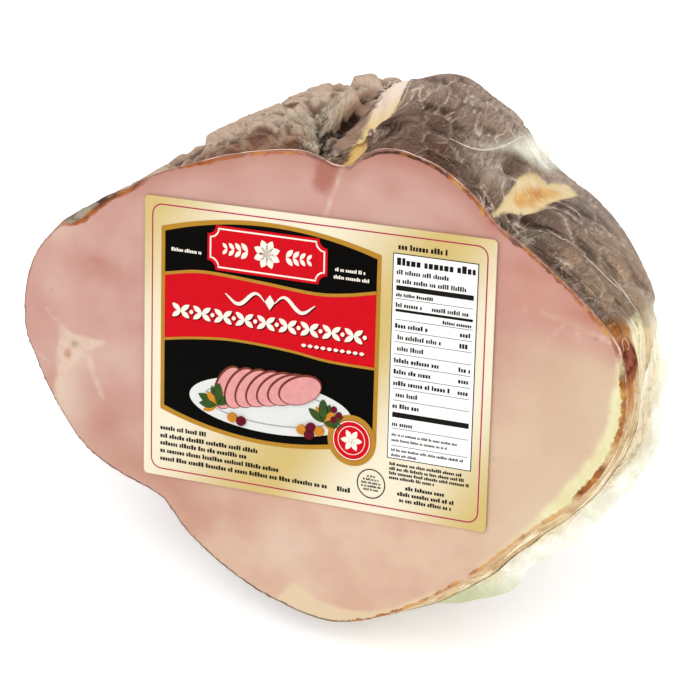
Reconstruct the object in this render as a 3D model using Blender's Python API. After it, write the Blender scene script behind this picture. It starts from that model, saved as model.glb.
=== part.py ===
"""Half of a semi-boneless ham, vacuum packed in a clear bag, with a printed label on the cut face.

The ham lies on the flat spot under its belly with the cut face leaning back. The face frame has
its origin at the middle of the label: u runs to the right across the cut, v runs up it, and w
points out of the meat, so the rest of the ham lies at negative w. Lengths are in metres.
"""

import math

import bmesh
import bpy
import numpy as np
from mathutils import Matrix, Vector

MM = 0.001

# The cut face and how it stands.
FACE_LEAN = math.radians(20.0)          # the cut face leans back from upright
HAM_DEPTH = 156.0 * MM                  # from the cut face to the far end
AXIS_START = (4.0 * MM, -4.0 * MM)      # where the ham's long axis meets the face, as u and v
AXIS_DRIFT = (-0.12, 0.14)              # drift of that axis in u and v for each unit of depth
EDGE_ROUND = 1.8 * MM                   # rounding of the cut edge under the film
REST_FLAT = 3.2 * MM                    # how much of the belly is pressed flat by the floor

# The outline of the cut, in millimetres, anticlockwise from the right-hand tip.
CUT_OUTLINE = [
    (110, 12), (108.5, 24), (102, 36), (86, 47.5), (68, 57.5), (57, 63), (43.5, 71.5),
    (31, 76.8), (17, 78), (8, 75), (0, 68.5), (-16, 69.3), (-34, 65), (-52, 57),
    (-73, 45.5), (-93, 28), (-107, 17), (-114, 3), (-113.5, -18), (-106, -31.5),
    (-99, -41.5), (-87, -54), (-74, -61), (-52, -66.5), (-38, -76.5), (-20, -85), (0, -90.5),
    (18, -92), (34, -86.5), (53, -73), (70, -56.5), (84, -39), (98, -23), (107, -6),
]

# How the side runs back from the cut: angle round the axis in degrees, the power of the
# superellipse that closes the side at the far end, and the swell beyond it in millimetres.
SIDE_PROFILE = [
    (0, 2.0, 4), (25, 2.0, 6), (42, 2.0, 3), (55, 2.05, 3), (70, 2.1, 7), (85, 2.3, 10),
    (105, 2.3, 8), (120, 2.3, 4), (140, 2.3, -1), (160, 2.3, -3), (180, 2.2, -4),
    (225, 2.3, 0), (255, 2.7, 6), (285, 2.7, 6), (310, 2.2, 2), (330, 2.0, 2),
]
SWELL_SPREAD = 1.15                     # the swell has died out at 1 / 1.15 of the depth
SMOOTHING_SPAN = 26.0                   # degrees over which the far end evens out the outline
SMOOTHING_POWER = 0.8                   # how early the outline's bumps fade with depth

# Furrows between the muscles: angle at the cut, turn of the furrow over the whole depth,
# half-width in degrees, depth in millimetres, and how far back it runs as a share of the depth.
FURROWS = [
    (94.0, 13.0, 5.0, 7.0, 0.85),
    (52.0, -13.0, 5.0, 5.0, 0.75),
]

# Spare film gathered into a fin down the right-hand side: angle and height in millimetres.
FIN_HEIGHT = [
    (-76, 0), (-64, 9), (-52, 14), (-42, 15), (-28, 15), (-12, 12), (5, 7), (20, 4), (34, 0),
    (100, 0), (180, 0), (240, 0),
]
FIN_DEPTH = 26.0 * MM                   # distance of the fin behind the cut face
FIN_FOOT = 1.5 * MM                     # half-thickness of the fin where it leaves the ham
FIN_TIP = 0.5 * MM                      # half-thickness of the fin at its edge
FIN_RIPPLES = 9                         # ripples in the fin's edge round a full turn
FIN_RIPPLE = 0.12                       # height of a ripple as a share of the fin

# The label on the cut face.
LABEL_WIDTH = 130.0 * MM
LABEL_HEIGHT = 100.5 * MM
LABEL_THICKNESS = 0.5 * MM
LABEL_CORNER = 1.5 * MM
LABEL_ROLL = math.radians(8.0)          # turned anticlockwise in the plane of the cut
LABEL_GAP = 0.3 * MM                    # kept between the label and the film

# Mesh density.
POINTS_ROUND = 108
EDGE_ROWS = 3
SIDE_ROWS = 36
CORNER_STEPS = 4
CURVE_STEPS = 24                        # points on the curve between two outline points


def periodic(table, degrees, column):
    """Read one column of a table by angle, with smooth steps and a full turn as the period."""
    stations = [row[0] for row in table]
    turn = (degrees - stations[0]) % 360.0 + stations[0]
    for index, start in enumerate(stations):
        after = stations[index + 1] if index + 1 < len(stations) else stations[0] + 360.0
        if turn <= after:
            share = (turn - start) / (after - start)
            share = 0.5 - 0.5 * math.cos(math.pi * share)
            here = table[index][column]
            there = table[(index + 1) % len(table)][column]
            return here + (there - here) * share
    return table[0][column]


def cut_outline(count):
    """Points spaced evenly along a smooth closed curve through the outline of the cut."""
    corners = np.array(CUT_OUTLINE, float) * MM
    curve = []
    for index in range(len(corners)):
        a, b, c, d = (corners[(index + k) % len(corners)] for k in (-1, 0, 1, 2))
        for step in range(CURVE_STEPS):
            t = step / CURVE_STEPS
            bend = (2 * a - 5 * b + 4 * c - d) * t * t
            curve.append(0.5 * (2 * b + (c - a) * t + bend + (3 * b - 3 * c + d - a) * t ** 3))
    curve = np.array(curve + curve[:1])
    length = np.concatenate([[0.0], np.cumsum(np.linalg.norm(np.diff(curve, axis=0), axis=1))])
    places = np.linspace(0.0, length[-1], count, endpoint=False)
    return np.stack([np.interp(places, length, curve[:, k]) for k in (0, 1)], axis=1)


def polar(spokes):
    """Radius and angle in degrees of each point about the axis."""
    radii = np.linalg.norm(spokes, axis=1)
    return radii, np.degrees(np.arctan2(spokes[:, 1], spokes[:, 0]))


def evened(radii, angles):
    """The outline's radii with its bumps averaged out, for the far end of the ham."""
    away = (angles[:, None] - angles[None, :] + 180.0) % 360.0 - 180.0
    weight = np.exp(-(away / SMOOTHING_SPAN) ** 2)
    return weight @ radii / weight.sum(axis=1)


def furrow_depth(degrees, share):
    """How deep the furrows cut in at an angle, at a share of the way to the far end."""
    depth = 0.0
    for angle, turn, half_width, deepest, reach in FURROWS:
        away = (degrees - angle - turn * share + 180.0) % 360.0 - 180.0
        run = math.sin(math.pi * min(1.0, share / reach) ** 0.7)
        depth += deepest * MM * run * math.exp(-(away / half_width) ** 2)
    return depth


def side_radius(radius, degrees, share):
    """Distance of the side from the axis at a share of the way to the far end."""
    power = periodic(SIDE_PROFILE, degrees, 1)
    swell = periodic(SIDE_PROFILE, degrees, 2) * MM
    closing = max(0.0, 1.0 - share ** power) ** (1.0 / power)
    swell *= math.sin(math.pi * min(1.0, share * SWELL_SPREAD))
    return max(0.0, radius * closing + swell - furrow_depth(degrees, share))


def fin_height(degrees):
    """Height of the fin of spare film, with a rippled edge."""
    height = periodic(FIN_HEIGHT, degrees, 1) * MM
    return height * (1.0 + FIN_RIPPLE * math.sin(math.radians(FIN_RIPPLES * degrees)))


def side_stations():
    """Depth, inset and fin share of each ring of points, from the cut to the far end."""
    rings = []
    for row in range(EDGE_ROWS + 1):
        turn = 0.5 * math.pi * row / EDGE_ROWS
        rings.append((EDGE_ROUND * (1.0 - math.cos(turn)), EDGE_ROUND * (1.0 - math.sin(turn)), 0.0))
    fin = [(-FIN_FOOT, 0.0), (-FIN_TIP, 1.0), (FIN_TIP, 1.0), (FIN_FOOT, 0.0)]
    rings += [(FIN_DEPTH + offset, 0.0, share) for offset, share in fin]
    for row in range(1, SIDE_ROWS):
        depth = HAM_DEPTH * math.sin(0.5 * math.pi * row / SIDE_ROWS)
        clear_of_fin = abs(depth - FIN_DEPTH) > 2.0 * FIN_FOOT
        if depth > 2.0 * EDGE_ROUND and clear_of_fin:
            rings.append((depth, 0.0, 0.0))
    return sorted(rings)


def press_flat(points):
    """Flatten the belly on the floor plane, by moving its points straight up to it."""
    up = np.array([0.0, math.cos(FACE_LEAN), math.sin(FACE_LEAN)])
    height = points @ up
    floor = height.min() + REST_FLAT
    lift = np.maximum(0.0, floor - height)
    return points + lift[:, None] * up


def bag_points():
    """Points of the bag in the face frame: its rings, then the far end's pole."""
    start = np.array(AXIS_START)
    radii, angles = polar(cut_outline(POINTS_ROUND) - start)
    smooth_radii = evened(radii, angles)
    points = []
    for depth, inset, fin in side_stations():
        share = depth / HAM_DEPTH
        centre = start + np.array(AXIS_DRIFT) * depth
        even = share ** SMOOTHING_POWER
        for radius, smooth_radius, degrees in zip(radii, smooth_radii, angles):
            mixed = radius + (smooth_radius - radius) * even
            reach = side_radius(mixed, degrees, share) - inset + fin * fin_height(degrees)
            turn = math.radians(degrees)
            u = centre[0] + reach * math.cos(turn)
            v = centre[1] + reach * math.sin(turn)
            points.append((u, v, -depth))
    pole = start + np.array(AXIS_DRIFT) * HAM_DEPTH
    points.append((pole[0], pole[1], -HAM_DEPTH))
    return press_flat(np.array(points))


def bag_mesh(points):
    """One closed skin: the flat cut, the side rings, and a fan that closes the far end."""
    shape = bmesh.new()
    corners = [shape.verts.new(point) for point in points]
    pole = corners.pop()
    rings = [corners[k:k + POINTS_ROUND] for k in range(0, len(corners), POINTS_ROUND)]
    shape.faces.new(rings[0])
    for near, far in zip(rings, rings[1:]):
        for k in range(POINTS_ROUND):
            after = (k + 1) % POINTS_ROUND
            shape.faces.new((near[k], far[k], far[after], near[after]))
    for k in range(POINTS_ROUND):
        shape.faces.new((rings[-1][k], pole, rings[-1][(k + 1) % POINTS_ROUND]))
    bmesh.ops.recalc_face_normals(shape, faces=shape.faces)
    mesh = bpy.data.meshes.new("bag")
    shape.to_mesh(mesh)
    shape.free()
    mesh.shade_smooth()
    mesh.set_sharp_from_angle(angle=math.radians(50.0))
    return mesh


def label_mesh():
    """A thin plate with rounded corners, its back on the plane w = 0."""
    shape = bmesh.new()
    rim = []
    for quarter in range(4):
        side_u = 1.0 if quarter in (0, 3) else -1.0
        side_v = 1.0 if quarter in (0, 1) else -1.0
        middle_u = side_u * (0.5 * LABEL_WIDTH - LABEL_CORNER)
        middle_v = side_v * (0.5 * LABEL_HEIGHT - LABEL_CORNER)
        for step in range(CORNER_STEPS + 1):
            turn = 0.5 * math.pi * (quarter + step / CORNER_STEPS)
            u = middle_u + LABEL_CORNER * math.cos(turn)
            v = middle_v + LABEL_CORNER * math.sin(turn)
            rim.append(shape.verts.new((u, v, 0.0)))
    back = shape.faces.new(rim)
    raised = bmesh.ops.extrude_face_region(shape, geom=[back])
    front = [item for item in raised["geom"] if isinstance(item, bmesh.types.BMVert)]
    bmesh.ops.translate(shape, verts=front, vec=(0.0, 0.0, LABEL_THICKNESS))
    bmesh.ops.recalc_face_normals(shape, faces=shape.faces)
    mesh = bpy.data.meshes.new("label")
    shape.to_mesh(mesh)
    shape.free()
    return mesh


def material(name, colour, roughness):
    """A Principled material with the sub-part's colour and roughness, and no metal."""
    made = bpy.data.materials.new(name)
    made.use_nodes = True
    shader = made.node_tree.nodes["Principled BSDF"]
    shader.inputs["Base Color"].default_value = (*colour, 1.0)
    shader.inputs["Roughness"].default_value = roughness
    shader.inputs["Metallic"].default_value = 0.0
    return made


def add_object(name, mesh, parent, skin):
    """Link an object to the scene, with its parent and its material."""
    made = bpy.data.objects.new(name, mesh)
    bpy.context.scene.collection.objects.link(made)
    made.parent = parent
    if mesh is not None:
        mesh.materials.append(skin)
    return made


def main():
    """Model the packed ham with its flat spot on the floor and its box centred over the origin."""
    for old in list(bpy.data.objects):
        bpy.data.objects.remove(old, do_unlink=True)

    points = bag_points()
    stance = Matrix.Rotation(0.5 * math.pi - FACE_LEAN, 3, "X")
    standing = points @ np.array(stance).T
    low = standing.min(axis=0)
    high = standing.max(axis=0)
    face = add_object("cut_face", None, None, None)
    face.rotation_euler = stance.to_euler()
    face.location = Vector((-0.5 * (low[0] + high[0]), -0.5 * (low[1] + high[1]), -low[2]))

    film = material("ham in clear film", (0.66, 0.43, 0.37), 0.25)
    paper = material("printed label", (0.90, 0.80, 0.55), 0.45)
    add_object("bag", bag_mesh(points), face, film)
    label = add_object("label", label_mesh(), face, paper)
    label.rotation_euler = (0.0, 0.0, LABEL_ROLL)
    label.location = (0.0, 0.0, LABEL_GAP)


main()
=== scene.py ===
"""Looks of a vacuum packed half of a semi-boneless ham, on a pale floor in soft studio light.

The ham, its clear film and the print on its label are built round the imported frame. The face frame
has its origin at the middle of the label's place on the cut: u runs right, v runs up the cut and w
points out of the meat, all in millimetres. A place on the side is given by its angle about the
ham's long axis, in degrees anticlockwise from the right, and by its depth behind the cut.
"""

import math
import random

import bmesh
import bpy
import numpy as np
from mathutils import Matrix, Vector
from mathutils.bvhtree import BVHTree


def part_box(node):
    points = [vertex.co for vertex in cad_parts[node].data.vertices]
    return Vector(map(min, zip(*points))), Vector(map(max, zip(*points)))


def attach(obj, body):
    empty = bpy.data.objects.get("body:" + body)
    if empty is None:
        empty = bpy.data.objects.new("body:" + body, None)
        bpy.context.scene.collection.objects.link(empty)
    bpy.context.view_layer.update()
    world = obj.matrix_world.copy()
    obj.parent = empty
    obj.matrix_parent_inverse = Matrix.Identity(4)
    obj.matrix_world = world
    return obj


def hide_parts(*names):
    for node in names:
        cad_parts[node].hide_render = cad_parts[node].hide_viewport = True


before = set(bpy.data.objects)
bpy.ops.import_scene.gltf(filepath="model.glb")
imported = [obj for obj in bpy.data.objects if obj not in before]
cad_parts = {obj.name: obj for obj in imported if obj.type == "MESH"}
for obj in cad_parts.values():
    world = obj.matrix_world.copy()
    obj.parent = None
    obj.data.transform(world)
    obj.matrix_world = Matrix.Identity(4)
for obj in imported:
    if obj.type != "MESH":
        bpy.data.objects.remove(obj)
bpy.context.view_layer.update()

MM = 0.001
scene = bpy.context.scene

# ---------------------------------------------------------------- the face frame
FACE_LEAN = math.radians(20.0)
RIGHT = np.array([1.0, 0.0, 0.0])
FACE_UP = np.array([0.0, math.sin(FACE_LEAN), math.cos(FACE_LEAN)])
OUT = np.array([0.0, -math.cos(FACE_LEAN), math.sin(FACE_LEAN)])
LABEL_MIDDLE = 0.55                       # height of the label's middle layer above the cut
LABEL_TOP = 0.80                          # height of the label's printed face above the cut
LABEL_ROLL = math.radians(8.0)

label_low, label_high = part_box("label")
CENTRE = 0.5 * (np.array(label_low) + np.array(label_high)) - OUT * LABEL_MIDDLE * MM
FACE_AXES = np.stack([RIGHT, FACE_UP, OUT])
FACE_FRAME = Matrix.Translation(Vector(CENTRE)) @ Matrix(FACE_AXES.T.tolist()).to_4x4()
LABEL_FRAME = FACE_FRAME @ Matrix.Rotation(LABEL_ROLL, 4, "Z")

# The ham's long axis: where it meets the cut, and its drift for each millimetre of depth.
AXIS_START = (4.0, -4.0)
AXIS_DRIFT = (-0.12, 0.14)
FIN_DEPTH = 26.0                          # depth of the fin of spare film behind the cut
FIN_ROOT = 2.8                            # half-width of the strip that the fin grows from
ARC = 1.5                                 # millimetres of side for a degree, for patch outlines


# ---------------------------------------------------------------- small tools
def activate(piece):
    """Select one piece alone and make it the active one."""
    bpy.ops.object.select_all(action="DESELECT")
    piece.select_set(True)
    bpy.context.view_layer.objects.active = piece


def apply_modifier(piece, kind, **settings):
    """Add a modifier to a piece and apply it."""
    activate(piece)
    added = piece.modifiers.new(kind.lower(), kind)
    for key, value in settings.items():
        setattr(added, key, value)
    bpy.ops.object.modifier_apply(modifier=added.name)


def read_rows(items, key="co"):
    """A vector of each item, its place if nothing else is asked for, as rows of an array."""
    values = np.empty(len(items) * 3)
    items.foreach_get(key, values)
    return values.reshape(-1, 3)


def write_points(mesh, points, lowest=None):
    """Move the vertices to new places, none of them below a lowest height."""
    if lowest is not None:
        points[:, 2] = np.maximum(points[:, 2], lowest)
    mesh.vertices.foreach_set("co", points.astype(np.float32).ravel())
    mesh.update()


def add_piece(name, mesh):
    """A new object in the scene with a mesh, or other data, of its own."""
    piece = bpy.data.objects.new(name, mesh)
    scene.collection.objects.link(piece)
    return piece


def store(mesh, name, values):
    """Keep a number, or a vector, for each vertex under a name that a material can read."""
    kind = "FLOAT_VECTOR" if values.ndim == 2 else "FLOAT"
    layer = mesh.attributes.new(name, kind, "POINT")
    key = "vector" if values.ndim == 2 else "value"
    layer.data.foreach_set(key, values.astype(np.float32).ravel())


def ramp(low, high, values):
    """0 below low, 1 above high, and a soft S between them."""
    share = np.clip((values - low) / (high - low), 0.0, 1.0)
    return share * share * (3.0 - 2.0 * share)


def bell(values):
    """1 where the values are 0, falling off to nothing on both sides."""
    return np.exp(-values ** 2)


def from_table(values, table, given=0, wanted=1):
    """The wanted column of a table for each value of its given column, between the rows."""
    rows = np.array(table)
    return np.interp(values, rows[:, given], rows[:, wanted])


def lumps(points, size, seed):
    """Smooth seeded noise from -1 to 1, with lumps of about the given size."""
    count = 32
    lattice = np.random.default_rng(seed).uniform(-1.0, 1.0, (count, count, count))
    places = points / size + 1000.0
    cell = np.floor(places).astype(int)
    share = places - cell
    share = share * share * (3.0 - 2.0 * share)
    total = np.zeros(len(points))
    for corner in np.ndindex(2, 2, 2):
        index = (cell + corner) % count
        weight = np.prod(np.where(corner, share, 1.0 - share), axis=1)
        total += weight * lattice[index[:, 0], index[:, 1], index[:, 2]]
    return total


def drift(places, size, seed, axes=3):
    """A different run of lumps along each axis, to bend lines with."""
    return np.stack([lumps(places, size, seed + k) for k in range(axes)], axis=1)


def line_distance(points, route):
    """Distance to the nearest point of an open line."""
    nearest = np.full(len(points), 1e9)
    for start, end in zip(np.array(route[:-1], float), np.array(route[1:], float)):
        along = end - start
        share = np.clip((points - start) @ along / (along @ along), 0.0, 1.0)
        gap = points - start - share[:, None] * along
        nearest = np.minimum(nearest, np.hypot(gap[:, 0], gap[:, 1]))
    return nearest


def patch(points, outline):
    """Distance in from the edge of a closed outline, and below nothing outside it."""
    corners = np.array(outline, float)
    inside = np.zeros(len(points), bool)
    for start, end in zip(corners, np.roll(corners, -1, axis=0)):
        along = end - start
        crosses = (start[1] > points[:, 1]) != (end[1] > points[:, 1])
        rise = along[1] if along[1] else 1e-9
        inside ^= crosses & (points[:, 0] < start[0] + along[0] * (points[:, 1] - start[1]) / rise)
    nearest = line_distance(points, [*outline, outline[0]])
    return np.where(inside, nearest, -nearest)


def spots(points, places):
    """Soft round spots: the middle, the two radii and the strength of each."""
    total = np.zeros(len(points))
    for x, y, wide, high, strength in places:
        reach = ((points[:, 0] - x) / wide) ** 2 + ((points[:, 1] - y) / high) ** 2
        total += strength * np.exp(-reach)
    return total


def angle_and_depth(places):
    """Angle in degrees from -90 to 270, and depth, of points given in the face frame in mm."""
    depth = -places[:, 2]
    across = places[:, 0] - AXIS_START[0] - AXIS_DRIFT[0] * depth
    above = places[:, 1] - AXIS_START[1] - AXIS_DRIFT[1] * depth
    angle = np.degrees(np.arctan2(above, across))
    return (angle + 90.0) % 360.0 - 90.0, depth


def side_map(angle, depth):
    """Side places as flat coordinates, for the outlines of patches."""
    return np.stack([angle * ARC, depth], axis=1)


def flat(corners):
    """Points given as angle and depth first, in the coordinates of side_map."""
    return [(angle * ARC, *rest) for angle, *rest in corners]


# ---------------------------------------------------------------- material tools
def paint(colour):
    """A colour on the usual 0 to 255 scale, as the linear colour that a shader takes."""
    shares = [value / 255.0 for value in colour]
    linear = [s / 12.92 if s <= 0.04045 else ((s + 0.055) / 1.055) ** 2.4 for s in shares]
    return (*linear, 1.0)


class Value:
    """A number or a colour that shader nodes work out all over a surface."""

    def __init__(self, look, socket):
        self.look = look
        self.socket = socket

    def math(self, operation, other=0.0):
        return self.look.node("ShaderNodeMath", {0: self, 1: other}, operation=operation)

    def __add__(self, other):
        return self.math("ADD", other)

    def __sub__(self, other):
        return self.math("SUBTRACT", other) if isinstance(other, Value) else self + -other

    def __mul__(self, other):
        return self.math("MULTIPLY", other)

    def __abs__(self):
        return self.math("ABSOLUTE")

    def step(self, low, high, end=1.0, start=0.0):
        """A soft S from start, where this value is low, to end, where it is high."""
        span = {"Value": self, "From Min": low, "From Max": high, "To Min": start, "To Max": end}
        return self.look.node("ShaderNodeMapRange", span, interpolation_type="SMOOTHSTEP")

    def toward(self, share, other):
        """This number moved by a share towards another."""
        return self.look.node("ShaderNodeMix", {0: share, 2: self, 3: other}, data_type="FLOAT")

    def coats(self, *coats):
        """This colour under coats of others, each given by its share and its colour."""
        colour = self
        for share, coat in coats:
            colour = self.look.blend(share, colour, coat)
        return colour


class Finish:
    """A material and the nodes that colour it. Methods return the value that they make."""

    def __init__(self, name, **constants):
        self.material = bpy.data.materials.new(name)
        self.material.use_nodes = True
        self.tree = self.material.node_tree
        self.shader = self.tree.nodes["Principled BSDF"]
        for key, value in constants.items():
            self.set(key.replace("_", " "), value)

    def node(self, kind, inputs=(), output=0, **settings):
        made = self.tree.nodes.new(kind)
        for key, value in settings.items():
            setattr(made, key, value)
        for key, value in dict(inputs).items():
            self.feed(made.inputs[key], value)
        return Value(self, made.outputs[output])

    def feed(self, socket, value):
        if isinstance(value, Value):
            self.tree.links.new(value.socket, socket)
        else:
            socket.default_value = value

    def set(self, key, value):
        self.feed(self.shader.inputs[key], value)

    def value(self, name, output="Fac"):
        """A number, or a vector, that the mesh keeps under a name."""
        return self.node("ShaderNodeAttribute", (), output, attribute_name=name)

    def stretch(self, place, scale, turn=0.0):
        """Coordinates stretched along each axis, with a turn about the third."""
        return self.node("ShaderNodeMapping", {
            "Vector": place, "Scale": scale, "Rotation": (0.0, 0.0, turn)})

    def place(self, scale=(1.0, 1.0, 1.0), turn=0.0):
        """Face frame coordinates in millimetres, stretched, with an added turn in the cut."""
        shift = -(Matrix(FACE_AXES.tolist()) @ Vector(CENTRE)) / MM
        mapped = self.node("ShaderNodeMapping", {
            "Vector": self.node("ShaderNodeTexCoord", (), "Object"), "Scale": (1.0 / MM,) * 3,
            "Location": shift, "Rotation": (FACE_LEAN - 0.5 * math.pi, 0.0, 0.0)})
        return self.stretch(mapped, scale, turn)

    def axis(self, place, letter):
        return self.node("ShaderNodeSeparateXYZ", {"Vector": place}, letter)

    def noise(self, place, size, detail=3.0, roughness=0.55, distortion=0.0):
        return self.node("ShaderNodeTexNoise", {
            "Vector": place, "Scale": 1.0 / size, "Detail": detail,
            "Roughness": roughness, "Distortion": distortion})

    def cells(self, place, feature="DISTANCE_TO_EDGE", output="Distance"):
        return self.node("ShaderNodeTexVoronoi", {"Vector": place, "Scale": 1.0}, output,
                         feature=feature)

    def blend(self, share, *colours):
        """Two colours mixed by a share. A plain colour is given on the usual 0 to 255 scale."""
        first, second = [paint(c) if isinstance(c, tuple) else c for c in colours]
        return self.node("ShaderNodeMix", {0: share, 6: first, 7: second}, 2, data_type="RGBA")

    def emboss(self, height, distance, strength=1.0):
        """Light the surface as if a height in millimetres were carved into it."""
        self.set("Normal", self.node("ShaderNodeBump", {
            "Height": height, "Distance": distance * MM, "Strength": strength}))


# ---------------------------------------------------------------- the ham
# Patches of fat, skin, stain and painted shade on the side, as angle and depth.
GAP_FAT = [
    (93.5, -3), (91.7, 10), (91.7, 24), (89.1, 29), (89.2, 41), (90.3, 52), (92.5, 64),
    (95, 78), (99, 95), (103, 122), (104.5, 95), (103.4, 80), (101.3, 65), (99, 50),
    (97.4, 38), (96.3, 27), (95.5, 18), (94.8, 10), (94.6, -3)]
# The mauve-brown of the fat deep in the gap is painted shade.
GAP_MAUVE = [
    (97, 11.5), (95.6, 17), (96.3, 28), (97.4, 38), (99, 50), (101, 62), (103, 74), (104.5, 64),
    (102.6, 45), (101.5, 30), (100.6, 16), (99, 11.5)]
GAP_CREASE = [
    (99.7, 19.5), (99.5, 26), (100, 31), (99.9, 38), (100.6, 46), (101.7, 44), (101.4, 37),
    (102.1, 33), (101.5, 26), (100.9, 20.5)]
GAP_CURL = [
    (102.9, 51), (103, 57), (102.6, 62), (101.4, 65.5), (100.8, 61), (101.9, 59), (101.8, 54)]
GAP_AMBER = [(95.2, -3), (95, 4), (94.2, 7.5), (92.8, 8), (91.6, 4.5), (91.4, -3)]
FAT_WEDGE = [
    (55.2, -3), (54.6, 4), (54.4, 10), (54.5, 16), (54.8, 25), (54.7, 36), (54.3, 43), (53.3, 52),
    (50.4, 62), (47.4, 74), (44, 87), (41.5, 93), (40.6, 84), (40.8, 73), (43.0, 60), (45.2, 48),
    (46.9, 37), (47.3, 28.4), (49.9, 21.9), (52.3, 14.5), (53.7, 5), (54.4, -3)]
WEDGE_AMBER = [
    (52.8, 26), (53.2, 33), (52, 42), (50, 52), (47.4, 68), (44.2, 75), (44.4, 62), (46.6, 48),
    (48.4, 35), (50.6, 27)]
GAP_LINE = [(93.4, 40), (94.7, 52), (96.8, 64), (99, 78), (101.7, 95), (103, 122)]
LOBE_HOLLOW = [
    (62.6, 34), (61.2, 46), (60.4, 60), (59.2, 78), (58, 98), (50, 96), (54.6, 60), (54, 46),
    (54.5, 36), (58, 31)]
HOLLOW_VEIL = [
    (66.5, 22), (64.4, 30), (62.6, 42), (61, 58), (59.4, 80), (57, 98), (53, 116), (50, 126),
    (47.8, 112), (47, 95), (48.6, 78), (51.2, 61), (55.6, 48), (61, 38), (64, 28)]
RIGHT_FAT = [
    (24.3, -3), (22.4, 12), (21.5, 26), (17, 36), (6, 40), (-15, 42), (-42, 38), (-64, 26),
    (-78, 10), (-86, -3)]
RIGHT_AMBER = [(27.4, -3), (21.3, -3), (20.4, 9), (20.8, 14), (23.4, 12), (25.8, 4)]
RIGHT_BROWN = [
    (21.8, -3), (21.9, 4), (21, 8.5), (18.6, 10), (16.6, 9.4), (14.8, 6.6), (13.4, 3.4), (13, -3)]
LOW_AMBER = [(14.6, -3), (14.8, 5.4), (12, 6.4), (9, 4.6), (7.6, 2), (7.4, -3)]
RIGHT_CREAM = [(22.6, 13), (21.5, 28), (5.5, 29), (7.5, 18), (11.5, 10.5), (17, 10)]
# Dark lines along the skin's folds, painted as shade.
DARK_LINES = [                            # folds of the skin as width, then angle and depth
    (0.9, [(100.5, 2), (101.4, 7), (101.8, 12), (101.2, 17), (99.9, 20.6)]),
    (0.4, [(103.4, 9), (104.2, 16), (104.6, 24)]),
    (0.4, [(90.6, 29), (89.8, 33), (89.6, 42), (91, 53), (93.4, 66), (95.8, 80)]),
    (0.5, [(101.4, 62), (102.6, 80), (104.6, 104), (105.6, 128), (106, 150)]),
    (0.7, [(6, 9), (-8, 8), (-22, 7.4), (-36, 7.2), (-50, 6.8), (-62, 5.2), (-74, 2.6)]),
    (0.35, [(21, 24), (16, 22), (9, 21), (2, 19), (-6, 16), (-14, 15), (-26, 13)]),
    (0.3, [(20, 20), (13, 18), (6, 15), (-2, 13), (-12, 11.5), (-20, 11)]),
    (0.3, [(-14, 20), (-24, 17), (-34, 14), (-46, 12), (-56, 9)])]
PADS = [                                  # angle, depth, half-widths in mm and strength
    (120.3, 13.2, 6, 6.5, 1.0), (108.4, 5, 7.5, 4, 0.95), (117.8, 37, 4, 5, 0.7),
    (134, 19, 4.5, 7, 0.8), (107.1, 41, 3, 5, 0.6), (128.6, 9, 4, 4, 0.4), (125.5, 33, 4, 5, 0.4)]
# The drapes' crests are raised and painted as highlight, with painted shadow just below them.
DRAPES = [                                # crests of the soft folds left of the notch
    [(136.5, 31), (137, 40), (134, 44), (129, 37), (124.3, 30.5)],
    [(131, 52), (124.4, 39), (120.9, 36.8), (117.4, 33.1), (113, 27.5), (109.3, 21.2)],
    [(130, 58), (124.1, 46.6), (120.2, 41), (117.5, 42)],
    [(116.3, 28), (114.1, 27.4), (111.3, 23.4), (109.3, 19.7), (106.7, 15)],
    [(117.8, 22.5), (115.2, 22.9), (111.4, 19.2), (108.2, 15.6)],
    [(113.6, 16.5), (110.2, 14.1), (107.7, 12.3), (104.9, 9.4)],
    [(124.8, 13.8), (124.5, 18.9), (122.5, 20.5), (119, 18.7), (115.8, 14.6)],
    [(115.7, 22.8), (113.7, 12), (113.4, 8.3), (112.4, 3.2)],
    [(111.4, 9.3), (107.8, 8.6), (104.8, 6.2), (102.8, 4.2)],
    [(132.6, 2), (132.4, 8.1), (130.4, 10.8), (129, 15.6), (126.2, 15.6)],
    [(128.9, 3.3), (126.7, 5.5), (124.2, 6.5), (123.5, 11.1)],
    [(115.4, 45), (110.8, 37.3), (108.4, 38.4), (108.5, 44.5)],
    [(105.2, 18.2), (104.8, 22.8), (104.6, 28.9), (104.1, 35.7), (103.5, 42.4)],
    [(102.7, 12.2), (103, 17.1), (102.8, 23.2), (102.8, 29.8)],
    [(106.9, 22.2), (107, 28.5), (106.5, 34.8), (105.7, 42.3), (105.4, 50.6)]]
# A raised ridge whose pale grey-green is a painted highlight.
PALE_RIDGE = [(103.7, 5), (104.9, 12), (107, 22), (109, 32)]
LOBE_LIP = [(96.4, 2), (93.6, 14), (91.5, 25), (89, 32), (89, 42), (90.4, 53), (93, 66)]

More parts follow.
